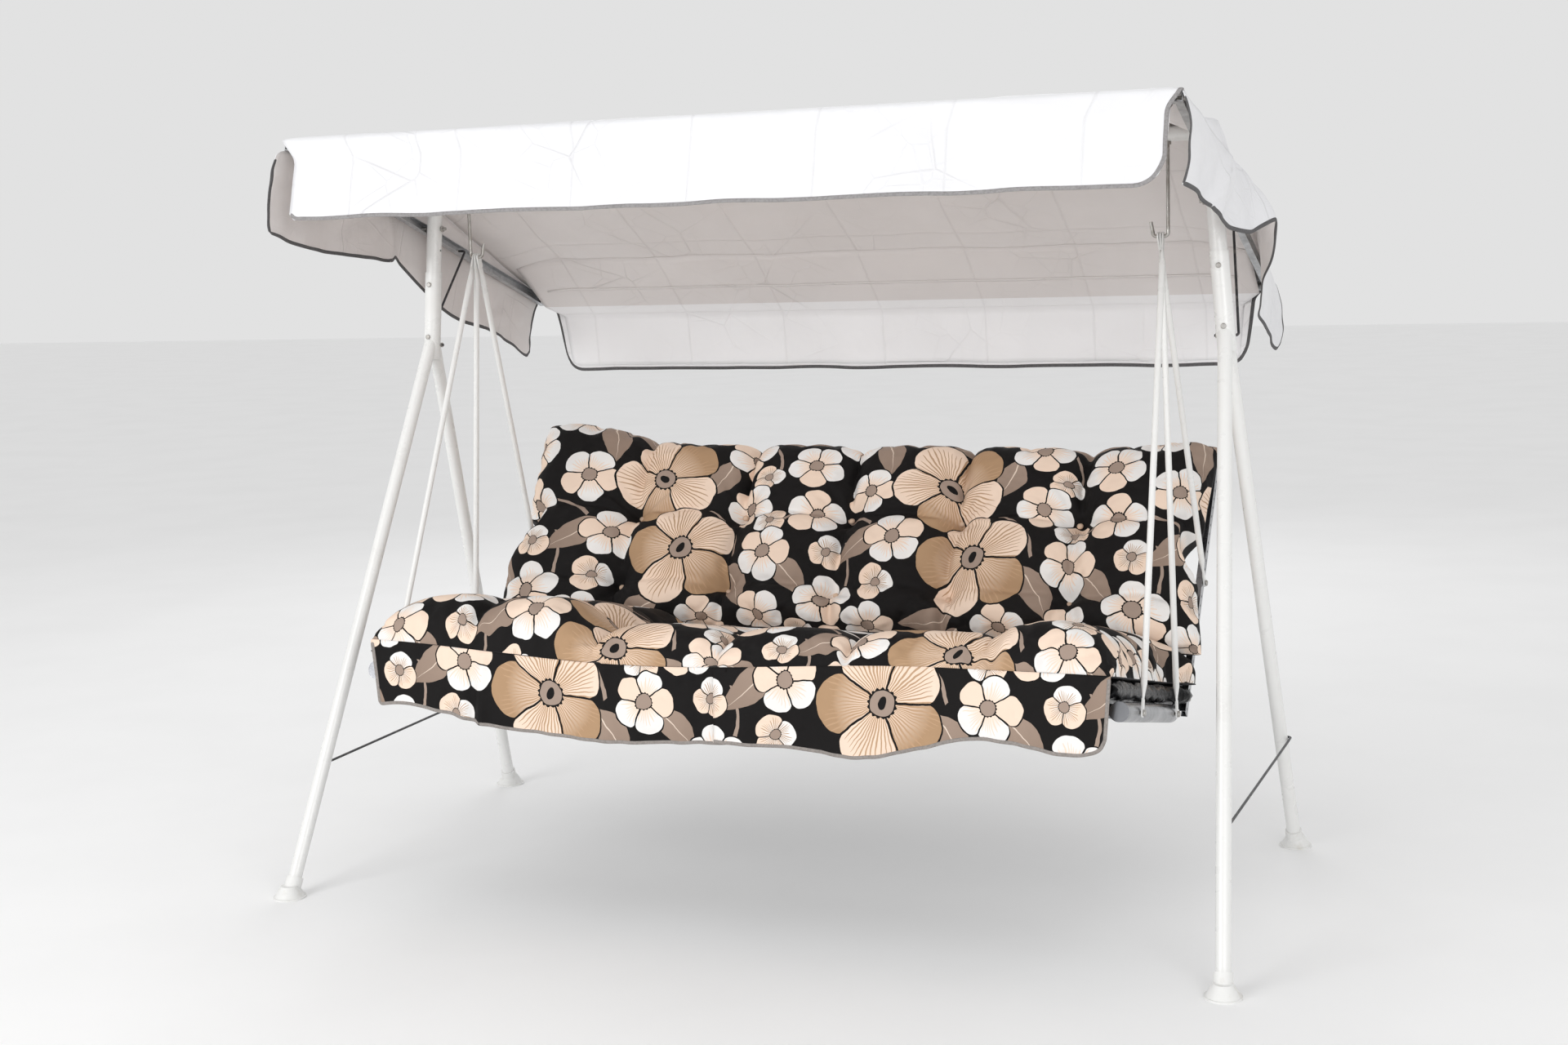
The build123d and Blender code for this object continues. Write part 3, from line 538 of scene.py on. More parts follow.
def printed_cloth():
    """Near-black cloth with large tan flowers, white blossoms, taupe leaves and stalks in a repeat."""
    made, shader, principled = material("cushion_cloth", INK[:3], 0.75, Specular_IOR_Level=0.16)
    place = cloth_place(shader)
    shake = shader.vector("SUBTRACT", shader.noise(place, 22.0, 2.0).outputs["Color"], (0.5, 0.5, 0.5))
    shaken = shader.node("ShaderNodeVectorMath", {"Vector": shake, "Scale": 0.012}, operation="SCALE")
    drawn = shader.vector("ADD", place, shaken.outputs[0])
    drawn = shader.vector("MULTIPLY", drawn, (1.0, 1.0, 0.0))

    kinds = {
        "leaf": leaf(),
        "stem": stem(),
        "bloom": flower("bloom", 5, WHITE, PEACH, PEACH, PEACH, False),
        "bud": flower("bud", 3, PEACH, WHITE, STREAK, WHITE, False),
        "poppy": flower("poppy", 5, PEACH, PEACH, STREAK, TAN, True),
    }
    colour = INK
    spot = spot_group()
    for kind, spots in PRINT_LAYERS:
        nearest = (9.0, 9.0, 0.0)
        for centre, turn, size in spots:
            values = {"Place": drawn, "Centre": (*centre, 0.0), "Nearest": nearest}
            values.update({"Turn": turn, "Size": size})
            nearest = shader.node("ShaderNodeGroup", values, node_tree=spot).outputs[0]
        values = {"Nearest": nearest, "Ground": colour}
        colour = shader.node("ShaderNodeGroup", values, node_tree=kinds[kind]).outputs[0]
    shader.put(principled.inputs["Base Color"], colour)

    weave = shader.noise(place, 900.0, 2.0).outputs[0]
    ridged = {"noise_dimensions": "2D", "noise_type": "RIDGED_MULTIFRACTAL"}
    creases = shader.noise(place, 26.0, 4.0, **ridged).outputs[0]
    first = shader.bump(weave, 0.25, 0.0005)
    shader.put(principled.inputs["Normal"], shader.bump(creases, 0.5, 0.006, first))
    return made


# Layers of one repeat of the print, from the bottom up: a kind, and the centre, turn and size of each motif.
# They are the builder's own design, laid out one by one.
PRINT_LAYERS = [
    ("stem", [
        ((0.34, 0.28), 0.9, 0.080), ((0.50, 0.30), 2.3, 0.075), ((0.66, 0.34), 0.3, 0.080),
        ((0.69, 0.17), 1.6, 0.070), ((0.05, 0.58), 2.9, 0.070), ((0.45, 0.52), 1.2, 0.070),
    ]),
    ("leaf", [
        ((0.03, 0.60), 0.5, 0.082), ((0.75, 0.53), 1.3, 0.074), ((0.49, 0.60), 0.2, 0.082),
        ((0.39, 0.12), 1.0, 0.078), ((0.13, 0.03), 2.8, 0.076),
    ]),
    ("leaf", [
        ((0.16, 0.61), 2.3, 0.078), ((0.71, 0.23), 2.4, 0.076), ((0.54, 0.14), 0.8, 0.070),
        ((0.29, 0.44), 1.9, 0.074),
    ]),
    ("bud", [
        ((0.62, 0.21), 0.7, 0.048), ((0.77, 0.13), 2.0, 0.050), ((0.26, 0.62), 1.2, 0.052),
        ((0.46, 0.29), 2.9, 0.048), ((0.57, 0.64), 0.2, 0.046), ((0.43, 0.45), 2.1, 0.048),
    ]),
    ("bloom", [
        ((0.38, 0.36), 0.4, 0.076), ((0.63, 0.08), 0.9, 0.080), ((0.71, 0.41), 0.1, 0.076),
        ((0.36, 0.55), 2.6, 0.080), ((0.31, 0.02), 2.0, 0.072), ((0.01, 0.25), 0.7, 0.080),
    ]),
    ("bloom", [
        ((0.46, 0.20), 1.3, 0.076), ((0.57, 0.33), 2.2, 0.080), ((0.55, 0.49), 1.6, 0.078),
        ((0.65, 0.60), 1.0, 0.078), ((0.76, 0.01), 2.4, 0.074), ((0.47, 0.03), 0.3, 0.070),
    ]),
    ("poppy", [((0.13, 0.43), 0.5, 0.158)]),
    ("poppy", [((0.23, 0.20), 1.9, 0.152)]),
]


# ---------------------------------------------------------------- cushions
def slope_frame(node, tilt):
    """Centre of a leaning CAD solid, and its directions up the slope and out of the face."""
    centre = np.array(middle(node))
    return centre, np.array([0.0, cos(tilt), -sin(tilt)]), np.array([0.0, sin(tilt), cos(tilt)])


def pillow(size, rim, seam, face_height, lining_height, ear=0.0):
    """Two cloths joined at a nearly square seam, thin at the corners and full inside.

    Returns the face and lining grids of (u, v, w), the flat places and how far each point is up the dome.
    """
    half_u, half_v = size
    reach = [pi / 2 * ((each ** 2 + face_height ** 2) / 2) ** 0.5 for each in rim]
    inner = (half_u - rim[0], half_v - rim[1])
    ends = [inner[k] + reach[k] for k in (0, 1)]
    lines = [np.linspace(-end, end, 2 * round(end / CLOTH_STEP) + 1) for end in ends]
    s, t = np.meshgrid(*lines, indexing="ij")
    plan, rise = [], []
    for k, along in enumerate((s, t)):
        turn = np.maximum(abs(along) - inner[k], 0.0) / reach[k] * pi / 2
        plan.append(np.sign(along) * (np.minimum(abs(along), inner[k]) + rim[k] * np.sin(turn)))
        rise.append(np.clip(np.cos(turn), 0.0, 1.0))
    u, v = plan
    dome = (rise[0] * rise[1]) ** 0.85
    u = u + np.sign(u) * ear * (u / half_u) ** 8 * (1.6 * (v / half_v) ** 2 - 0.6)
    face = np.stack([u, v, seam + face_height * dome], axis=2)
    lining = np.stack([u, v, seam - lining_height * dome], axis=2)
    return face, lining, np.stack([s, t], axis=2), dome


def tuft_shape(u, v, rows, depth):
    """Height lost at the tufts and along the valleys between them."""
    lost = np.zeros_like(u)
    for column in TUFT_COLUMNS:
        for row in rows:
            away = np.hypot(u - column, v - row)
            lost = np.maximum(lost, depth * np.exp(-away / 0.048))
    across = np.min([abs(u - column) for column in TUFT_COLUMNS], axis=0)
    down = np.min([abs(v - row) for row in rows], axis=0)
    valley = 0.5 * depth * np.maximum(np.exp(-across / 0.032), 0.8 * np.exp(-down / 0.032))
    return np.maximum(lost, valley)


def gathers(face, dome, rows, half_v, depth):
    """Sharp valleys through the tufts, creases that fan out from them, and short ones in from the seams."""
    u, v = face[..., 0], face[..., 1]
    wander = 0.006  # how far a valley strays from the straight line between tufts
    across = np.min([abs(u - c - wander * np.sin(40.0 * v + 9.0 * c)) for c in TUFT_COLUMNS], axis=0)
    down = np.min([abs(v - row - wander * np.sin(31.0 * u + 20.0 * row)) for row in rows], axis=0)
    away = np.min([np.hypot(u - c, v - row) for c in TUFT_COLUMNS for row in rows], axis=0)
    strong = 0.45 + 0.55 * np.exp(-away / 0.09)
    height = -depth * strong * np.maximum(np.exp(-across / 0.016), 0.75 * np.exp(-down / 0.016))
    height -= 0.012 * np.exp(-away / 0.02)
    for number, (column, row) in enumerate((c, r) for c in TUFT_COLUMNS for r in rows):
        away = np.hypot(u - column, v - row)
        angle = np.arctan2(v - row, u - column)
        fan = np.sin(9.0 * angle + 2.1 * number + 1.4 * np.sin(2.0 * angle + number))
        fan += 0.6 * np.sin(15.0 * angle - 1.3 * number + 9.0 * away)
        height += 0.0058 * np.exp(-away / 0.07) * (1.0 - np.exp(-(away / 0.02) ** 2)) * fan
    column_near = np.exp(-np.min([abs(u - c) for c in TUFT_COLUMNS], axis=0) / 0.06)
    for edge, seed in ((half_v, 61), (-half_v, 62)):
        near = np.exp(-abs(v - edge) / 0.045)
        height += 0.007 * near * (0.3 + column_near) * ripple(u, v * 0.25, seed, (0.024, 0.06), (-0.25, 0.25))
    ends = np.exp(-(abs(u).max() - abs(u)) / 0.05)
    height += 0.0035 * ends * ripple(u * 0.25, v, 63, (0.03, 0.07), (1.3, 1.85))
    face[..., 2] += height * smooth(dome / 0.35)


def inflate(name, grid, held, pressure, slack, frames, cap):
    """Blows a cloth grid up against its held points, and returns the grid, moved at most cap."""
    columns, rows = grid.shape[:2]
    start = grid.reshape(-1, 3)
    piece = new_piece(name, start, grid_faces(columns, rows), [])
    group = piece.vertex_groups.new(name="held")
    group.add([int(k) for k in np.flatnonzero(held.ravel())], 1.0, "REPLACE")
    cloth = piece.modifiers.new("cloth", "CLOTH")
    settings = cloth.settings
    settings.quality = 6
    settings.mass = 0.12
    settings.tension_stiffness = settings.compression_stiffness = 20.0
    settings.shear_stiffness = 8.0
    settings.bending_stiffness = 0.12
    settings.tension_damping = settings.compression_damping = settings.shear_damping = 8.0
    settings.air_damping = 2.0
    settings.vertex_group_mass = "held"
    settings.shrink_min = -slack
    settings.use_pressure = True
    settings.uniform_pressure_force = pressure
    settings.effector_weights.gravity = 0.0
    cloth.collision_settings.use_collision = False
    cloth.point_cache.frame_end = frames
    scene = bpy.context.scene
    for number in range(1, frames + 1):
        scene.frame_set(number)
    result = piece.evaluated_get(bpy.context.evaluated_depsgraph_get()).data
    moved = np.zeros(len(start) * 3)
    result.vertices.foreach_get("co", moved)
    scene.frame_set(1)
    bpy.data.objects.remove(piece)
    step = moved.reshape(-1, 3) - start
    length = np.linalg.norm(step, axis=1, keepdims=True)
    step *= cap * np.tanh(length / cap) / np.maximum(length, 1e-9)
    return (start + step).reshape(grid.shape)


def place_on_slope(points, slope):
    centre, *ways = slope
    return centre + points.reshape(-1, 3) @ np.array([(1.0, 0.0, 0.0), *ways])


def cushion(name, face, lining, flat, slope, materials):
    """Closed cushion: the face cloth and the lining share their seam."""
    columns, rows = face.shape[:2]
    points = np.concatenate([place_on_slope(face, slope), place_on_slope(lining, slope)])
    faces = grid_faces(columns, rows)
    count = columns * rows
    back = [[corner + count for corner in quad] for quad in grid_faces(columns, rows, flip=True)]
    flat = np.concatenate([flat.reshape(-1, 2)] * 2)
    slots = [0] * len(faces) + [1] * len(back)
    piece = new_piece(name, points, faces + back, materials, flat, slots)
    join_doubles(piece, 2e-5, outward=False)
    soften(piece)
    return piece


def edge_mask(grid):
    mask = np.zeros(grid.shape[:2], bool)
    mask[0], mask[-1], mask[:, 0], mask[:, -1] = True, True, True, True
    return mask


def tuft_mask(u, v, rows, radius=0.008):
    return np.any([np.hypot(u - c, v - row) < radius for c in TUFT_COLUMNS for row in rows], axis=0)


def back_cushion(materials):
    half_u, half_v, half_w = BACK_SIZE
    slope = slope_frame("back_cushion", BACK_TILT)
    seam = -half_w + 0.040
    face, lining, flat, dome = pillow((half_u, half_v), (0.07, 0.07), seam, 2 * half_w - 0.036, 0.036, 0.010)
    u, v = face[..., 0].copy(), face[..., 1].copy()
    face[..., 2] -= dome * tuft_shape(u, v, BACK_TUFT_ROWS, 0.050)
    scallop = np.max([np.exp(-abs(u - column) / 0.035) for column in TUFT_COLUMNS], axis=0)
    upper = smooth((v + 0.05) / 0.3)
    lift = -0.044 + 0.068 * smooth((-u - 0.42) / 0.42) + 0.020 * smooth((u - 0.55) / 0.3) - 0.016 * scallop
    foot = smooth((-v - 0.15) / 0.12) * smooth((abs(u) - 0.72) / 0.15)
    for grid in (face, lining):
        grid[..., 0] += 0.014 * np.sign(u) * foot - 0.042 * smooth((-u - 0.6) / 0.25) * (1.0 - foot)
        grid[..., 1] += upper * lift - 0.022 * foot
    held = edge_mask(face) | tuft_mask(u, v, BACK_TUFT_ROWS)
    face = inflate("back_cloth", face, held, 3.4, 0.07, 24, 0.028)
    gathers(face, dome, BACK_TUFT_ROWS, half_v, 0.022)
    piece = cushion("back_cushion_cover", face, lining, flat + BACK_PRINT_SHIFT, slope, materials)
    squeeze(piece, "hanger_back_left", "hanger_back_right")
    return piece, face, slope


def squeeze(piece, *rods):
    """Presses a cushion's ends in where a straight rod runs down beside them."""
    for rod in rods:
        low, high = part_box(rod)
        top, foot = np.array([low.y, high.z]), np.array([high.y, low.z])
        side = np.sign(low.x)
        limit = min(abs(low.x), abs(high.x)) - 0.003
        way = (foot - top) / np.linalg.norm(foot - top)
        for vertex in piece.data.vertices:
            if vertex.co.x * side > limit:
                offset = np.array([vertex.co.y, vertex.co.z]) - top
                away = abs(offset[0] * way[1] - offset[1] * way[0])
                share = float(smooth((away - 0.016) / 0.05))
                vertex.co.x = side * (limit + (vertex.co.x * side - limit) * share)


def seat_rise(u):
    """How much the seat's crest stands above the plain cushion: both ends are fuller."""
    left = 0.050 * smooth((-u - 0.31) / 0.13) - 0.016 * smooth((-u - 0.62) / 0.2)
    return left - 0.040 + 0.040 * smooth((u - 0.47) / 0.3)


def seam_rise(u):
    """Height of the front seam: lowest left of the middle."""
    return -0.030 * smooth(1.0 - abs(u + 0.2) / 0.72)


def seat_cushion(materials):
    half_u, half_v, half_w = SEAT_SIZE
    slope = slope_frame("seat_cushion", SEAT_TILT)
    seam = -half_w + 0.006
    face, lining, flat, dome = pillow((half_u, half_v), (0.13, 0.10), seam, 2 * half_w - 0.004, 0.006)
    u, v = face[..., 0].copy(), face[..., 1].copy()
    face[..., 2] += dome * (seat_rise(u) - tuft_shape(u, v, SEAT_TUFT_ROWS, 0.048))
    pulled = 0.035 * np.exp(-np.hypot(u, v + half_v) / 0.045)
    face[..., 2] -= dome * pulled
    corner = smooth((abs(u) - 0.72) / 0.12) * smooth((v - 0.24) / 0.09)
    flare = 0.046 * np.sign(u) * corner  # the rear corners stick out past the backrest
    face[..., 2] += 0.040 * corner * np.minimum(dome * 3.0, 1.0) * (1.0 - dome)
    front = smooth((-v - 0.1) / 0.22)
    for grid in (face, lining):
        grid[..., 0] += flare
        grid[..., 2] += front * seam_rise(u) * (1.0 - 0.8 * dome)
    held = edge_mask(face) | tuft_mask(u, v, SEAT_TUFT_ROWS)
    face = inflate("seat_cloth", face, held, 3.0, 0.07, 24, 0.024)
    gathers(face, dome, SEAT_TUFT_ROWS, half_v, 0.018)
    piece = cushion("seat_cushion_cover", face, lining, flat + SEAT_PRINT_SHIFT, slope, materials)
    seam_line = place_on_slope(face[:, 0], slope)
    return piece, face, slope, seam_line, float(flat[..., 1].min())


def underside_pad(materials):
    half_u, half_v, half_w = PAD_SIZE
    slope = slope_frame("seat_underside_pad", SEAT_TILT)
    face, lining, flat, dome = pillow((half_u, half_v), (0.03, 0.03), 0.0, half_w, half_w)
    pleat = 0.0028 * ripple(flat[..., 0], flat[..., 1], 11, (0.018, 0.05))
    pleat += 0.003 * ripple(flat[..., 0], flat[..., 1], 12, (0.05, 0.12))
    flare = 0.034 * np.sign(face[..., 0]) * smooth((abs(face[..., 0]) - 0.8) / 0.07)
    flare *= smooth((face[..., 1] - 0.22) / 0.09)
    for grid, sense in ((face, 1), (lining, -1)):
        grid[..., 0] += flare
        side = np.clip(dome * 1.6, 0.0, 1.0)
        grid[..., 2] += sense * side * (pleat - 0.002)
    return cushion("seat_underside_cover", face, lining, flat, slope, materials)


def tuft_buttons(name, face, slope, rows, material_used):
    """Small covered buttons that hold the tufts down."""
    profile = [(0.0, 0.0052), (0.004, 0.0047), (0.0072, 0.0027), (0.0082, 0.0), (0.007, -0.0026)]
    spokes, proud = 20, 0.0065
    points, faces = [], []
    flat_face = face.reshape(-1, 3)
    for column in TUFT_COLUMNS:
        for row in rows:
            nearest = np.argmin(np.hypot(flat_face[:, 0] - column, flat_face[:, 1] - row))
            base = flat_face[nearest] + np.array([0.0, 0.0, proud])
            first = len(points)
            for radius, rise in profile:
                for spoke in range(spokes):
                    angle = 2 * pi * spoke / spokes
                    points.append(base + np.array([radius * cos(angle), radius * sin(angle), rise]))
            for ring in range(len(profile) - 1):
                for spoke in range(spokes):
                    after = (spoke + 1) % spokes
                    low, high = first + ring * spokes, first + (ring + 1) * spokes
                    faces.append([low + spoke, low + after, high + after, high + spoke])
            last = first + (len(profile) - 1) * spokes
            faces.append([last + spoke for spoke in range(spokes)])
    piece = new_piece(name, place_on_slope(np.array(points), slope), faces, [material_used])
    join_doubles(piece)
    belongs(piece, "swing", "cushion_cloth")


# ---------------------------------------------------------------- skirt
# The hem from the middle out, then its outer end: x and z. Solved from the photograph's view.
SKIRT_HEM = {
    "right": [
        (0.002, 0.440), (0.15, 0.432), (0.34, 0.424), (0.47, 0.450),
        (0.58, 0.479), (0.69, 0.470), (0.80, 0.456),
    ],
    "left": [(-0.002, 0.434), (-0.16, 0.423), (-0.36, 0.424), (-0.55, 0.438), (-0.70, 0.466), (-0.80, 0.476)],
}
SKIRT_END = {"right": (0.858, 0.466), "left": (-0.858, 0.468)}
SKIRT_CORNER = {"right": 0.030, "left": 0.010}  # radius of the lower outer corner


def skirt(side, seam_line, seam_place, cloth, tape):
    """One half of the loose cloth that hangs from the seat's front seam."""
    sign = 1 if side == "right" else -1
    columns, rows = 120, 24
    hem = through([(x, 0.0, z) for x, z in SKIRT_HEM[side] + [SKIRT_END[side]]], columns)
    share = np.linspace(0.0, 1.0, columns)
    behind = 0.0 if side == "right" else 1.0
    lap = 0.030 * behind
    top_x = sign * (share * (0.868 + lap) - lap)
    hem[:, 0] = hem[:, 0] - sign * lap * (1.0 - share) ** 6
    hem[:, 2] += corner_lift(hem[:, 0], abs(SKIRT_END[side][0]), SKIRT_CORNER[side])
    top_y = np.interp(top_x, seam_line[:, 0], seam_line[:, 1]) - 0.0015
    top_z = np.interp(top_x, seam_line[:, 0], seam_line[:, 2]) + 0.002
    down = np.linspace(0.0, 1.0, rows)[None, :]
    x = top_x[:, None] + (hem[:, 0] - top_x)[:, None] * down
    z = top_z[:, None] + (hem[:, 2] - top_z)[:, None] * down
    waves = ripple(x, z * 0.25, 21 + sign, (0.18, 0.42), (-0.2, 0.2))
    fine = ripple(x, z, 23 + sign, (0.05, 0.11), (-0.35, 0.35))
    pleat = np.exp(-((x + 0.58) / 0.012) ** 2) - 0.7 * np.exp(-((x + 0.60) / 0.016) ** 2)
    out = 0.006 * down + down * (0.010 * waves + 0.0025 * fine) + 0.012 * pleat * down ** 0.5
    out += 0.014 * np.exp(-((x - 0.60) / 0.06) ** 2) * down
    out -= behind * 0.010 * smooth((x + 0.08) / 0.06) * smooth(down / 0.2)
    gathered = 0.003 * ripple(x, z * 0.1, 26 + sign, (0.03, 0.08), (-0.1, 0.1)) * np.exp(-down / 0.3)
    y = top_y[:, None] - np.clip(out, -0.006, 0.03) - gathered * np.minimum(down / 0.05, 1.0)
    grid = np.stack([x, y, z], axis=2)
    flat = np.stack([x, seam_place + z - top_z[:, None]], axis=2) + SKIRT_PRINT_SHIFT
    ends = [(i, rows - 1) for i in range(columns)] + [(columns - 1, j) for j in range(rows - 2, 0, -1)]
    piece = cloth_sheet(f"skirt_{side}_cloth", grid, flat, cloth, cloth, 0.0012)
    belongs(piece, "swing", "cushion_cloth", f"skirt_{side}")
    edge = binding(f"skirt_{side}_binding", grid, ends, 0.0075, tape, "swing", "cushion_cloth")


# ---------------------------------------------------------------- canopy
FRONT_TUBE = middle("canopy_front_tube")
REAR_TUBE = middle("canopy_rear_tube")
BEAM_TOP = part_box("top_beam")[1].z
BEAM_END_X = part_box("beam_end_caps")[1].x
ROOF_EDGE_X = round(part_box("canopy_roof")[1].x + 0.004, 3)  # a little outside, to cover the side bars
FRONT_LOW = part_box("front_valance")[0]
FRONT_HEM = (round(FRONT_LOW.y + 0.006, 3), round(FRONT_LOW.z + 0.001, 3))
REAR_LOW, REAR_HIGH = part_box("rear_valance")
REAR_HEM = (round(REAR_HIGH.y - 0.0095, 3), round(REAR_LOW.z, 3))


def cover_section():
    """Section of the cover from front hem to rear hem, and the row where each part ends."""
    front_corner = (FRONT_TUBE.y - 0.017, FRONT_TUBE.z + 0.021)
    rear_corner = (REAR_TUBE.y + 0.017, REAR_TUBE.z + 0.017)
    points = [FRONT_HEM, front_corner, (0.0, BEAM_TOP + 0.008), rear_corner, REAR_HEM]
    return filleted(points, (0.016, 0.05, 0.015), CANOPY_STEP), front_corner, rear_corner


def canopy_cover(outer, inner, painted_light_inner, tape, pale_tape):
    """Roof, front valance and rear valance in one sheet."""
    section, front_corner, rear_corner = cover_section()
    lengths = run_lengths(section)
    columns, rows = 2 * round(ROOF_EDGE_X / CANOPY_STEP) + 1, len(section)
    front_end = int(np.argmin(np.linalg.norm(section - front_corner, axis=1)))
    rear_start = int(np.argmin(np.linalg.norm(section - rear_corner, axis=1)))
    share = np.linspace(-1.0, 1.0, columns)
    lean = (front_corner[0] - FRONT_HEM[0]) / (front_corner[1] - FRONT_HEM[1])
    grid = np.zeros((columns, rows, 3))
    for j, (y, z) in enumerate(section):
        x = share * ROOF_EDGE_X
        if j < front_end:
            fallen = 1.0 - lengths[j] / lengths[front_end]
            edge = ROOF_EDGE_X - np.where(share < 0, 0.040, 0.025) * smooth(fallen / 0.35)
            x = share * edge
            rise = corner_lift(x, edge, np.where(x < 0, 0.016, 0.062)) * fallen
            y = y + lean * rise
        elif j > rear_start:
            fallen = (lengths[j] - lengths[rear_start]) / (lengths[-1] - lengths[rear_start])
            edge = ROOF_EDGE_X - 0.038 * smooth(fallen / 0.3) - 0.022 * fallen
            x = share * edge
            rise = corner_lift(x, edge, 0.055) * fallen
        else:
            rise = roof_slack(x, y, front_corner, rear_corner)
        grid[:, j, 0], grid[:, j, 1], grid[:, j, 2] = x, y, z + rise
    wrinkle_cover(grid, lengths, front_end, rear_start)
    flat = np.stack(np.broadcast_arrays(share[:, None] * ROOF_EDGE_X, lengths[None, :]), axis=2)
    # The inside finish is the darker painted-shade copy of the cloth.
    piece = cloth_sheet("canopy_cover", grid, flat, outer, inner, CANOPY_CLOTH)
    # From the rear valance on, the inside takes the lighter painted-light copy of the cloth.
    second_finish(piece, outer, painted_light_inner, columns, rows, rear_start)
    belongs(piece, "canopy", "canopy_cloth", "canopy_roof", "front_valance", "rear_valance")
    front_edge = [(i, 0) for i in range(columns)]
    front_edge += [(columns - 1, j) for j in range(1, front_end + 3)]
    rear_edge = [(0, j) for j in range(rear_start - 2, rows - 1)] + [(i, rows - 1) for i in range(columns)]
    rear_edge += [(columns - 1, j) for j in range(rows - 2, rear_start - 3, -1)]
    on = ("canopy", "canopy_cloth")
    front_tape = binding("front_valance_binding", grid, front_edge, 0.008, pale_tape, *on)
    rear_tape = binding("rear_valance_binding", grid, rear_edge, TAPE_WIDTH, tape, *on)
    seam = seam_tape("roof_seam_1", grid, rear_start - SEAM_ROWS, inner)
    sleeves = tube_sleeves(grid, front_end, rear_start, inner, painted_light_inner)
    return grid, front_end, rear_start


def second_finish(piece, outside, inside, columns, rows, first_row):
    """Gives a cloth sheet another pair of finishes from a row onwards."""
    piece.data.materials.append(outside)
    piece.data.materials.append(inside)
    places = [2 if j >= first_row else 0 for _ in range(columns - 1) for j in range(rows - 1)]
    piece.data.polygons.foreach_set("material_index", places)


def corner_lift(x, edge, radius):
    """How far a rounded lower corner rises above the straight hem."""
    into = np.clip((abs(x) - (edge - radius)) / radius, 0.0, 1.0)
    return radius * (1.0 - np.sqrt(1.0 - into ** 2 * 0.98))


def roof_slack(x, y, front_corner, rear_corner):
    """Sag between the supports, and the fall past the beam's ends."""
    corner, depth = (front_corner, 0.006) if y < 0 else (rear_corner, 0.013)
    reach = np.clip(y / corner[0], 0.0, 1.0)
    sag = -depth * sin(pi * reach)
    beyond = BEAM_END_X + 0.006 - 0.16 * float(smooth((abs(y) - 0.055) / 0.22) * smooth((1.0 - reach) / 0.4))
    past_beam = smooth((abs(x) - beyond) / (ROOF_EDGE_X - beyond))
    return sag * (1.0 - 0.6 * past_beam) - 0.078 * past_beam * (1.0 - reach) ** 0.8


def wrinkle_cover(grid, lengths, front_end, rear_start):
    """Soft waves, stronger on the loose valances and near the roof's corners."""
    normals = grid_normals(grid)
    x = grid[..., 0]
    along = np.broadcast_to(lengths[None, :], x.shape)
    rows = np.arange(grid.shape[1])[None, :]
    front = smooth((front_end - rows) / max(front_end, 1))
    rear = smooth((rows - rear_start) / (grid.shape[1] - rear_start))
    on_tube = np.exp(-((rows - front_end) / 3.0) ** 2) + np.exp(-((rows - rear_start) / 3.0) ** 2)
    ends = smooth((abs(x) - 0.6) / 0.4)
    height = 0.0022 * ripple(x, along, 31, (0.25, 0.6)) + 0.0010 * ripple(x, along, 32, (0.07, 0.16))
    height += ends * 0.0012 * ripple(x, along, 33, (0.10, 0.24), (0.4, 1.2))
    height = height * (1.0 - np.clip(on_tube, 0.0, 0.9))
    height = height + 0.006 * (front + 1.3 * rear) * ripple(x, along * 0.3, 34, (0.16, 0.42), (-0.25, 0.25))
    grid += normals * height[..., None]


def tube_sleeves(cover, front_end, rear_start, cloth, pale):
    """Inner layers of cloth that hold the canopy's two tubes; the rear one lines the rear valance."""
    kept = cover[2:-2]
    normals = grid_normals(cover)[2:-2]
    lining = kept[:, rear_start + 6 : -1] - normals[:, rear_start + 6 : -1] * 0.0024
    foot = (FRONT_TUBE.y - 0.0135, FRONT_TUBE.z - 0.062)
    front_last = kept[:, front_end].copy()
    front_last[:, 1:] = foot
    made = []
    for name, tube, row, behind, rest in (
        ("front_tube_sleeve", FRONT_TUBE, front_end + 7, 1, front_last[:, None]),
        ("rear_tube_sleeve", REAR_TUBE, rear_start - SEAM_ROWS, -1, lining),
    ):
        start = kept[:, row] - normals[:, row] * 0.0015
        crease = start.copy()
        crease[:, 1:] = np.array([tube.y + behind * 0.0145, tube.z - 0.0165])
        steps = 9
        shares = np.linspace(0.0, 1.0, steps)[None, :, None]
        under = start[:, None] + (crease - start)[:, None] * shares
        grid = np.concatenate([under, rest], axis=1)
        lengths = run_lengths(grid[len(grid) // 2])
        flat = np.stack(np.broadcast_arrays(grid[..., 0], lengths[None]), axis=2)
        piece = cloth_sheet(name, grid, flat, cloth, cloth, 0.0008)
        # Past the crease the sleeves take the lighter painted-light copy of the cloth.
        second_finish(piece, pale, pale, *grid.shape[:2], steps - 1)
        made.append(belongs(piece, "canopy", "canopy_cloth"))
    made.append(seam_tape("roof_seam_0", grid[:, :steps], 5, cloth))
    return made


def seam_tape(name, grid, row, cloth):
    """Sewn tape across the roof's underside."""
    normals = grid_normals(grid)
    ends = slice(3, -3)
    below = grid[ends, row] - normals[ends, row] * 0.0012
    ahead = grid[ends, row + 1] - grid[ends, row]
    ahead /= np.linalg.norm(ahead, axis=1, keepdims=True)
    thick = normals[ends, row] * 0.0006
    half = ahead * 0.004
    rings = np.array([below - half, below + half, below + half - thick, below - half - thick])
    corners, length = rings.shape[:2]
    flat = np.zeros((corners * length, 2))
    flat[:, 0] = np.tile(np.arange(length) * CANOPY_STEP, corners)
    flat[:, 1] = 0.06  # between two of the cloth's fold lines
    piece = new_piece(name, rings.reshape(-1, 3), rod_faces(corners, length), [cloth], flat)
    join_doubles(piece)
    return belongs(piece, "canopy", "canopy_cloth")
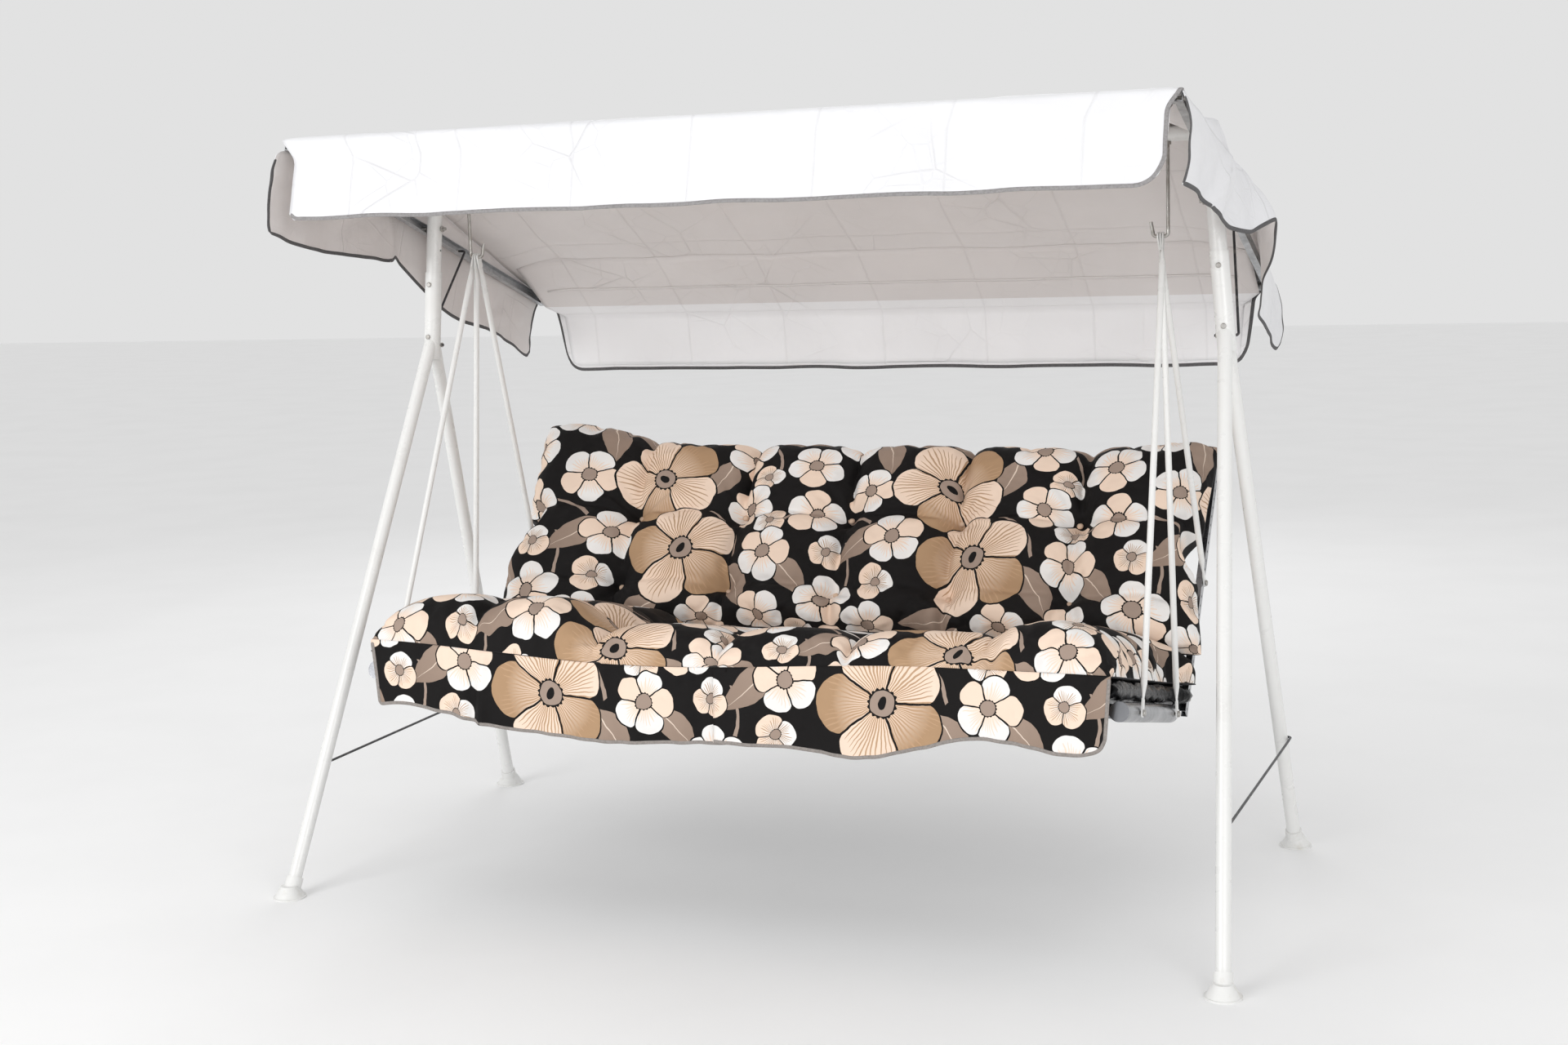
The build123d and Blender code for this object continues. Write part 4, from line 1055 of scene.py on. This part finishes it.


# Hem of each side valance from front to rear, and where its front edge starts above the roof's corner.
# Solved from the photograph's view.
SIDE_HEM = {
    "right": [
        (1.024, -0.600, 1.592), (1.030, -0.500, 1.575), (1.036, -0.390, 1.548), (1.050, -0.220, 1.508),
        (1.072, -0.090, 1.497), (1.112, 0.036, 1.512), (1.106, 0.050, 1.482), (1.066, 0.120, 1.385),
        (1.040, 0.285, 1.292), (1.038, 0.430, 1.252), (1.038, 0.545, 1.216), (1.040, 0.580, 1.226),
    ],
    "left": [
        (-1.021, -0.640, 1.562), (-1.020, -0.520, 1.530), (-1.018, -0.404, 1.514), (-1.014, -0.250, 1.500),
        (-1.012, -0.130, 1.494), (-1.014, -0.108, 1.500), (-1.016, -0.085, 1.486), (-1.018, 0.010, 1.425),
        (-1.016, 0.139, 1.352), (-1.014, 0.305, 1.300), (-1.014, 0.430, 1.254), (-1.014, 0.512, 1.218),
        (-1.016, 0.540, 1.228),
    ],
}
SIDE_FRONT_TOP = {"right": (1.020, -0.582, 1.768), "left": (-1.023, -0.592, 1.740)}


def side_valance(side, cover, front_end, rear_start, outer, inner, tape):
    """Cloth that hangs from the roof's side edge."""
    sign = 1 if side == "right" else -1
    edge = cover[-1 if sign > 0 else 0, front_end - 1 : rear_start + 2]
    columns, rows = 110, 22
    at = run_lengths(edge)
    even = np.linspace(0.0, at[-1], columns)
    top = np.stack([np.interp(even, at, edge[:, k]) for k in range(3)], axis=1)
    top += np.exp(-even / 0.05)[:, None] * (np.array(SIDE_FRONT_TOP[side]) - top[0])
    hem = through(SIDE_HEM[side], columns)
    down = np.linspace(0.0, 1.0, rows)
    grid = top[:, None] + (hem - top)[:, None] * down[None, :, None]
    belly = np.sin(pi * down)[None, :] ** 0.8
    grid[..., 0] += sign * 0.014 * belly
    place = np.broadcast_to(even[:, None], grid.shape[:2])
    fall = np.broadcast_to(down[None, :] * 0.215, grid.shape[:2])
    folds = 0.0035 * down[None, :] * ripple(place, fall * 0.3, 41 + sign, (0.12, 0.3), (-0.3, 0.3))
    folds = folds + 0.002 * ripple(place, fall, 44 + sign, (0.05, 0.12), (0.2, 1.2))
    grid[..., 0] += folds * smooth(down / 0.15)[None, :]
    if sign > 0:
        crease = grid[..., 1] + 0.155 + 1.57 * (1.704 - grid[..., 2])
        sharp = smooth(down / 0.3) * (1.0 - 0.7 * down)
        width = np.where(crease > 0.0, 0.075, 0.028)
        grid[..., 0] += 0.030 * np.exp(-abs(crease) / width) * sharp[None, :]
    # The cloth keeps outside the side bar, and further out where the tilt brace moves.
    brace_side = smooth((0.26 - abs(grid[..., 1] - 0.07)) / 0.12) * smooth(down / 0.35)[None, :]
    tuck = 0.012 * smooth((down - 0.4) / 0.3)[None, :] * (1.0 - brace_side)
    outside = ROOF_EDGE_X + 0.0015 + 0.021 * brace_side - tuck
    grid[..., 0] = sign * np.maximum(sign * grid[..., 0], outside)
    flat = np.stack([place, fall], axis=2)
    if sign > 0:
        grid, flat = grid[::-1], flat[::-1]
    # The inside finish is the darker painted-shade copy of the cloth.
    piece = cloth_sheet(f"side_valance_{side}_cloth", grid, flat, outer, inner, CANOPY_CLOTH)
    belongs(piece, "canopy", "canopy_cloth", f"side_valance_{side}")
    free = [(0, j) for j in range(1, rows - 1)] + [(i, rows - 1) for i in range(columns)]
    free += [(columns - 1, j) for j in range(rows - 2, 0, -1)]
    name = f"side_valance_{side}_binding"
    edge_tape = binding(name, grid, free, TAPE_WIDTH, tape, "canopy", "canopy_cloth")


# ---------------------------------------------------------------- stage
def stage():
    made, shader, principled = material("pale_floor", (0.93, 0.93, 0.93), 0.8)
    vary(shader, principled, (0.93, 0.93, 0.93), (0.91, 0.91, 0.91), 2.0)
    size = 30.0
    corners = [(-size, -size, 0), (size, -size, 0), (size, size, 0), (-size, size, 0)]
    floor = new_piece("floor", corners, [[0, 1, 2, 3]], [made])
    world = bpy.data.worlds.new("studio")
    world.use_nodes = True
    world.node_tree.nodes["Background"].inputs[0].default_value = (1.0, 1.0, 1.0, 1.0)
    world.node_tree.nodes["Background"].inputs[1].default_value = 0.76
    bpy.context.scene.world = world
    bpy.context.scene.view_settings.view_transform = "Standard"
    soft_light("key", (-2.4, -5.0, 2.6), 2.8, 105.0)
    soft_light("fill", (3.4, -4.4, 1.9), 2.6, 60.0)
    soft_light("rim", (-1.5, 4.5, 3.6), 3.0, 40.0)


def soft_light(name, place, size, power):
    light = bpy.data.lights.new(name, "AREA")
    light.size = size
    light.energy = power
    lamp = bpy.data.objects.new(name, light)
    lamp.location = place
    target = Vector((0.0, 0.0, 0.9))
    lamp.rotation_euler = (target - Vector(place)).to_track_quat("-Z", "Y").to_euler()
    bpy.context.scene.collection.objects.link(lamp)


def camera():
    """Right of the front, at standing eye height, looking slightly down with a slight roll.

    The values are solved from the photograph's perspective, so that the view matches it.
    """
    place, focal_length = (1.742, -4.481, 1.490), 46.33
    azimuth, elevation, roll = radians(21.81), radians(7.67), radians(-1.71)
    back = Vector((sin(azimuth) * cos(elevation), -cos(azimuth) * cos(elevation), sin(elevation)))
    right = Vector((cos(azimuth), sin(azimuth), 0.0))
    up = back.cross(right)
    turned_right = cos(roll) * right + sin(roll) * up
    turned_up = cos(roll) * up - sin(roll) * right
    lens = bpy.data.cameras.new("camera")
    lens.sensor_width = 36.0
    lens.lens = focal_length
    lens.clip_end = 200.0
    body = bpy.data.objects.new("camera", lens)
    turn = Matrix((turned_right, turned_up, back)).transposed().to_4x4()
    body.matrix_world = Matrix.Translation(place) @ turn
    bpy.context.scene.collection.objects.link(body)
    bpy.context.scene.camera = body


# ---------------------------------------------------------------- finishes of the CAD parts
def finish_cad_parts():
    """Gives each CAD node that is shown the procedural finish of its material slot."""
    finishes = {
        "white_paint": white_paint(),
        "white_plastic": white_plastic(),
        "dark_rod": dark_rod(),
        "bare_steel": metal("bare_steel", (0.50, 0.49, 0.47), (0.36, 0.34, 0.31), 0.25, 0.5, 60.0),
        "galvanised": metal("galvanised", (0.56, 0.57, 0.58), (0.42, 0.43, 0.44), 0.32, 0.55, 35.0),
        "bright_tube": metal("bright_tube", (0.31, 0.315, 0.33), (0.22, 0.225, 0.24), 0.16, 0.3, 12.0),
    }
    for subpart in frame["record"]["subparts"]:
        slot = "bright_tube" if subpart["node"] == "seat_tube_caps" else subpart["material_slot"]
        chosen = finishes.get(slot)
        if chosen:
            node = frame["nodes"][subpart["node"]]
            node.data.materials.clear()
            node.data.materials.append(chosen)


BACK_PRINT_SHIFT = np.array([0.65, 0.31])
SKIRT_PRINT_SHIFT = np.array([0.63, 0.69])
SEAT_PRINT_SHIFT = np.array([0.472, 0.57])


def soft_seat():
    cloth = printed_cloth()
    lining, shader, principled = material("lining", (0.018, 0.017, 0.018), 0.8)
    grain(shader, principled, 500.0, 0.5, 0.001)
    vinyl, shader, principled = material("black_vinyl", (0.003, 0.003, 0.0035), 0.22, Specular_IOR_Level=0.14)
    grain(shader, principled, 40.0, 0.7, 0.008)
    tape = binding_tape("skirt_binding", (0.30, 0.27, 0.25), (0.22, 0.20, 0.185))
    button_cloth, shader, principled = material("button_cloth", (0.62, 0.45, 0.33), 0.7)
    grain(shader, principled, 900.0, 0.4, 0.0006)

    back, back_face, back_slope = back_cushion([cloth, lining])
    seat, seat_face, seat_slope, seam_line, seam_place = seat_cushion([cloth, lining])
    pad = underside_pad([vinyl, vinyl])
    tuft_buttons("back_buttons", back_face, back_slope, BACK_TUFT_ROWS, button_cloth)
    tuft_buttons("seat_buttons", seat_face, seat_slope, SEAT_TUFT_ROWS, button_cloth)
    for piece, node, slot, fill in (
        (back, "back_cushion", "cushion_cloth", 0.7),
        (seat, "seat_cushion", "cushion_cloth", 0.7),
        (pad, "seat_underside_pad", "black_vinyl", 0.4),
    ):
        belongs(piece, "swing", slot, node)
    for side in ("right", "left"):
        skirt(side, seam_line, seam_place, cloth, tape)


def canopy():
    outer = canopy_cloth("canopy_outside", (0.80, 0.80, 0.815), (0.765, 0.765, 0.785))
    # painted shade: the inside finish is a darker copy of the same cloth, for the shade under the roof
    inner = canopy_cloth("canopy_inside_painted_shade", (0.79, 0.75, 0.735), (0.73, 0.69, 0.675))
    # painted light: a lighter copy of the inside cloth for the rear valance, standing in for light that
    # shines through it
    painted_light_inner = canopy_cloth("rear_valance_inside_painted_light", (0.93, 0.925, 0.935), (0.89, 0.885, 0.895))
    tape = binding_tape("canopy_binding", (0.11, 0.108, 0.11), (0.075, 0.073, 0.075))
    pale_tape = binding_tape("front_binding", (0.30, 0.29, 0.29), (0.22, 0.21, 0.21))
    cover, front_end, rear_start = canopy_cover(outer, inner, painted_light_inner, tape, pale_tape)
    for side in ("right", "left"):
        side_valance(side, cover, front_end, rear_start, outer, inner, tape)


camera()
stage()
finish_cad_parts()
soft_seat()
canopy()
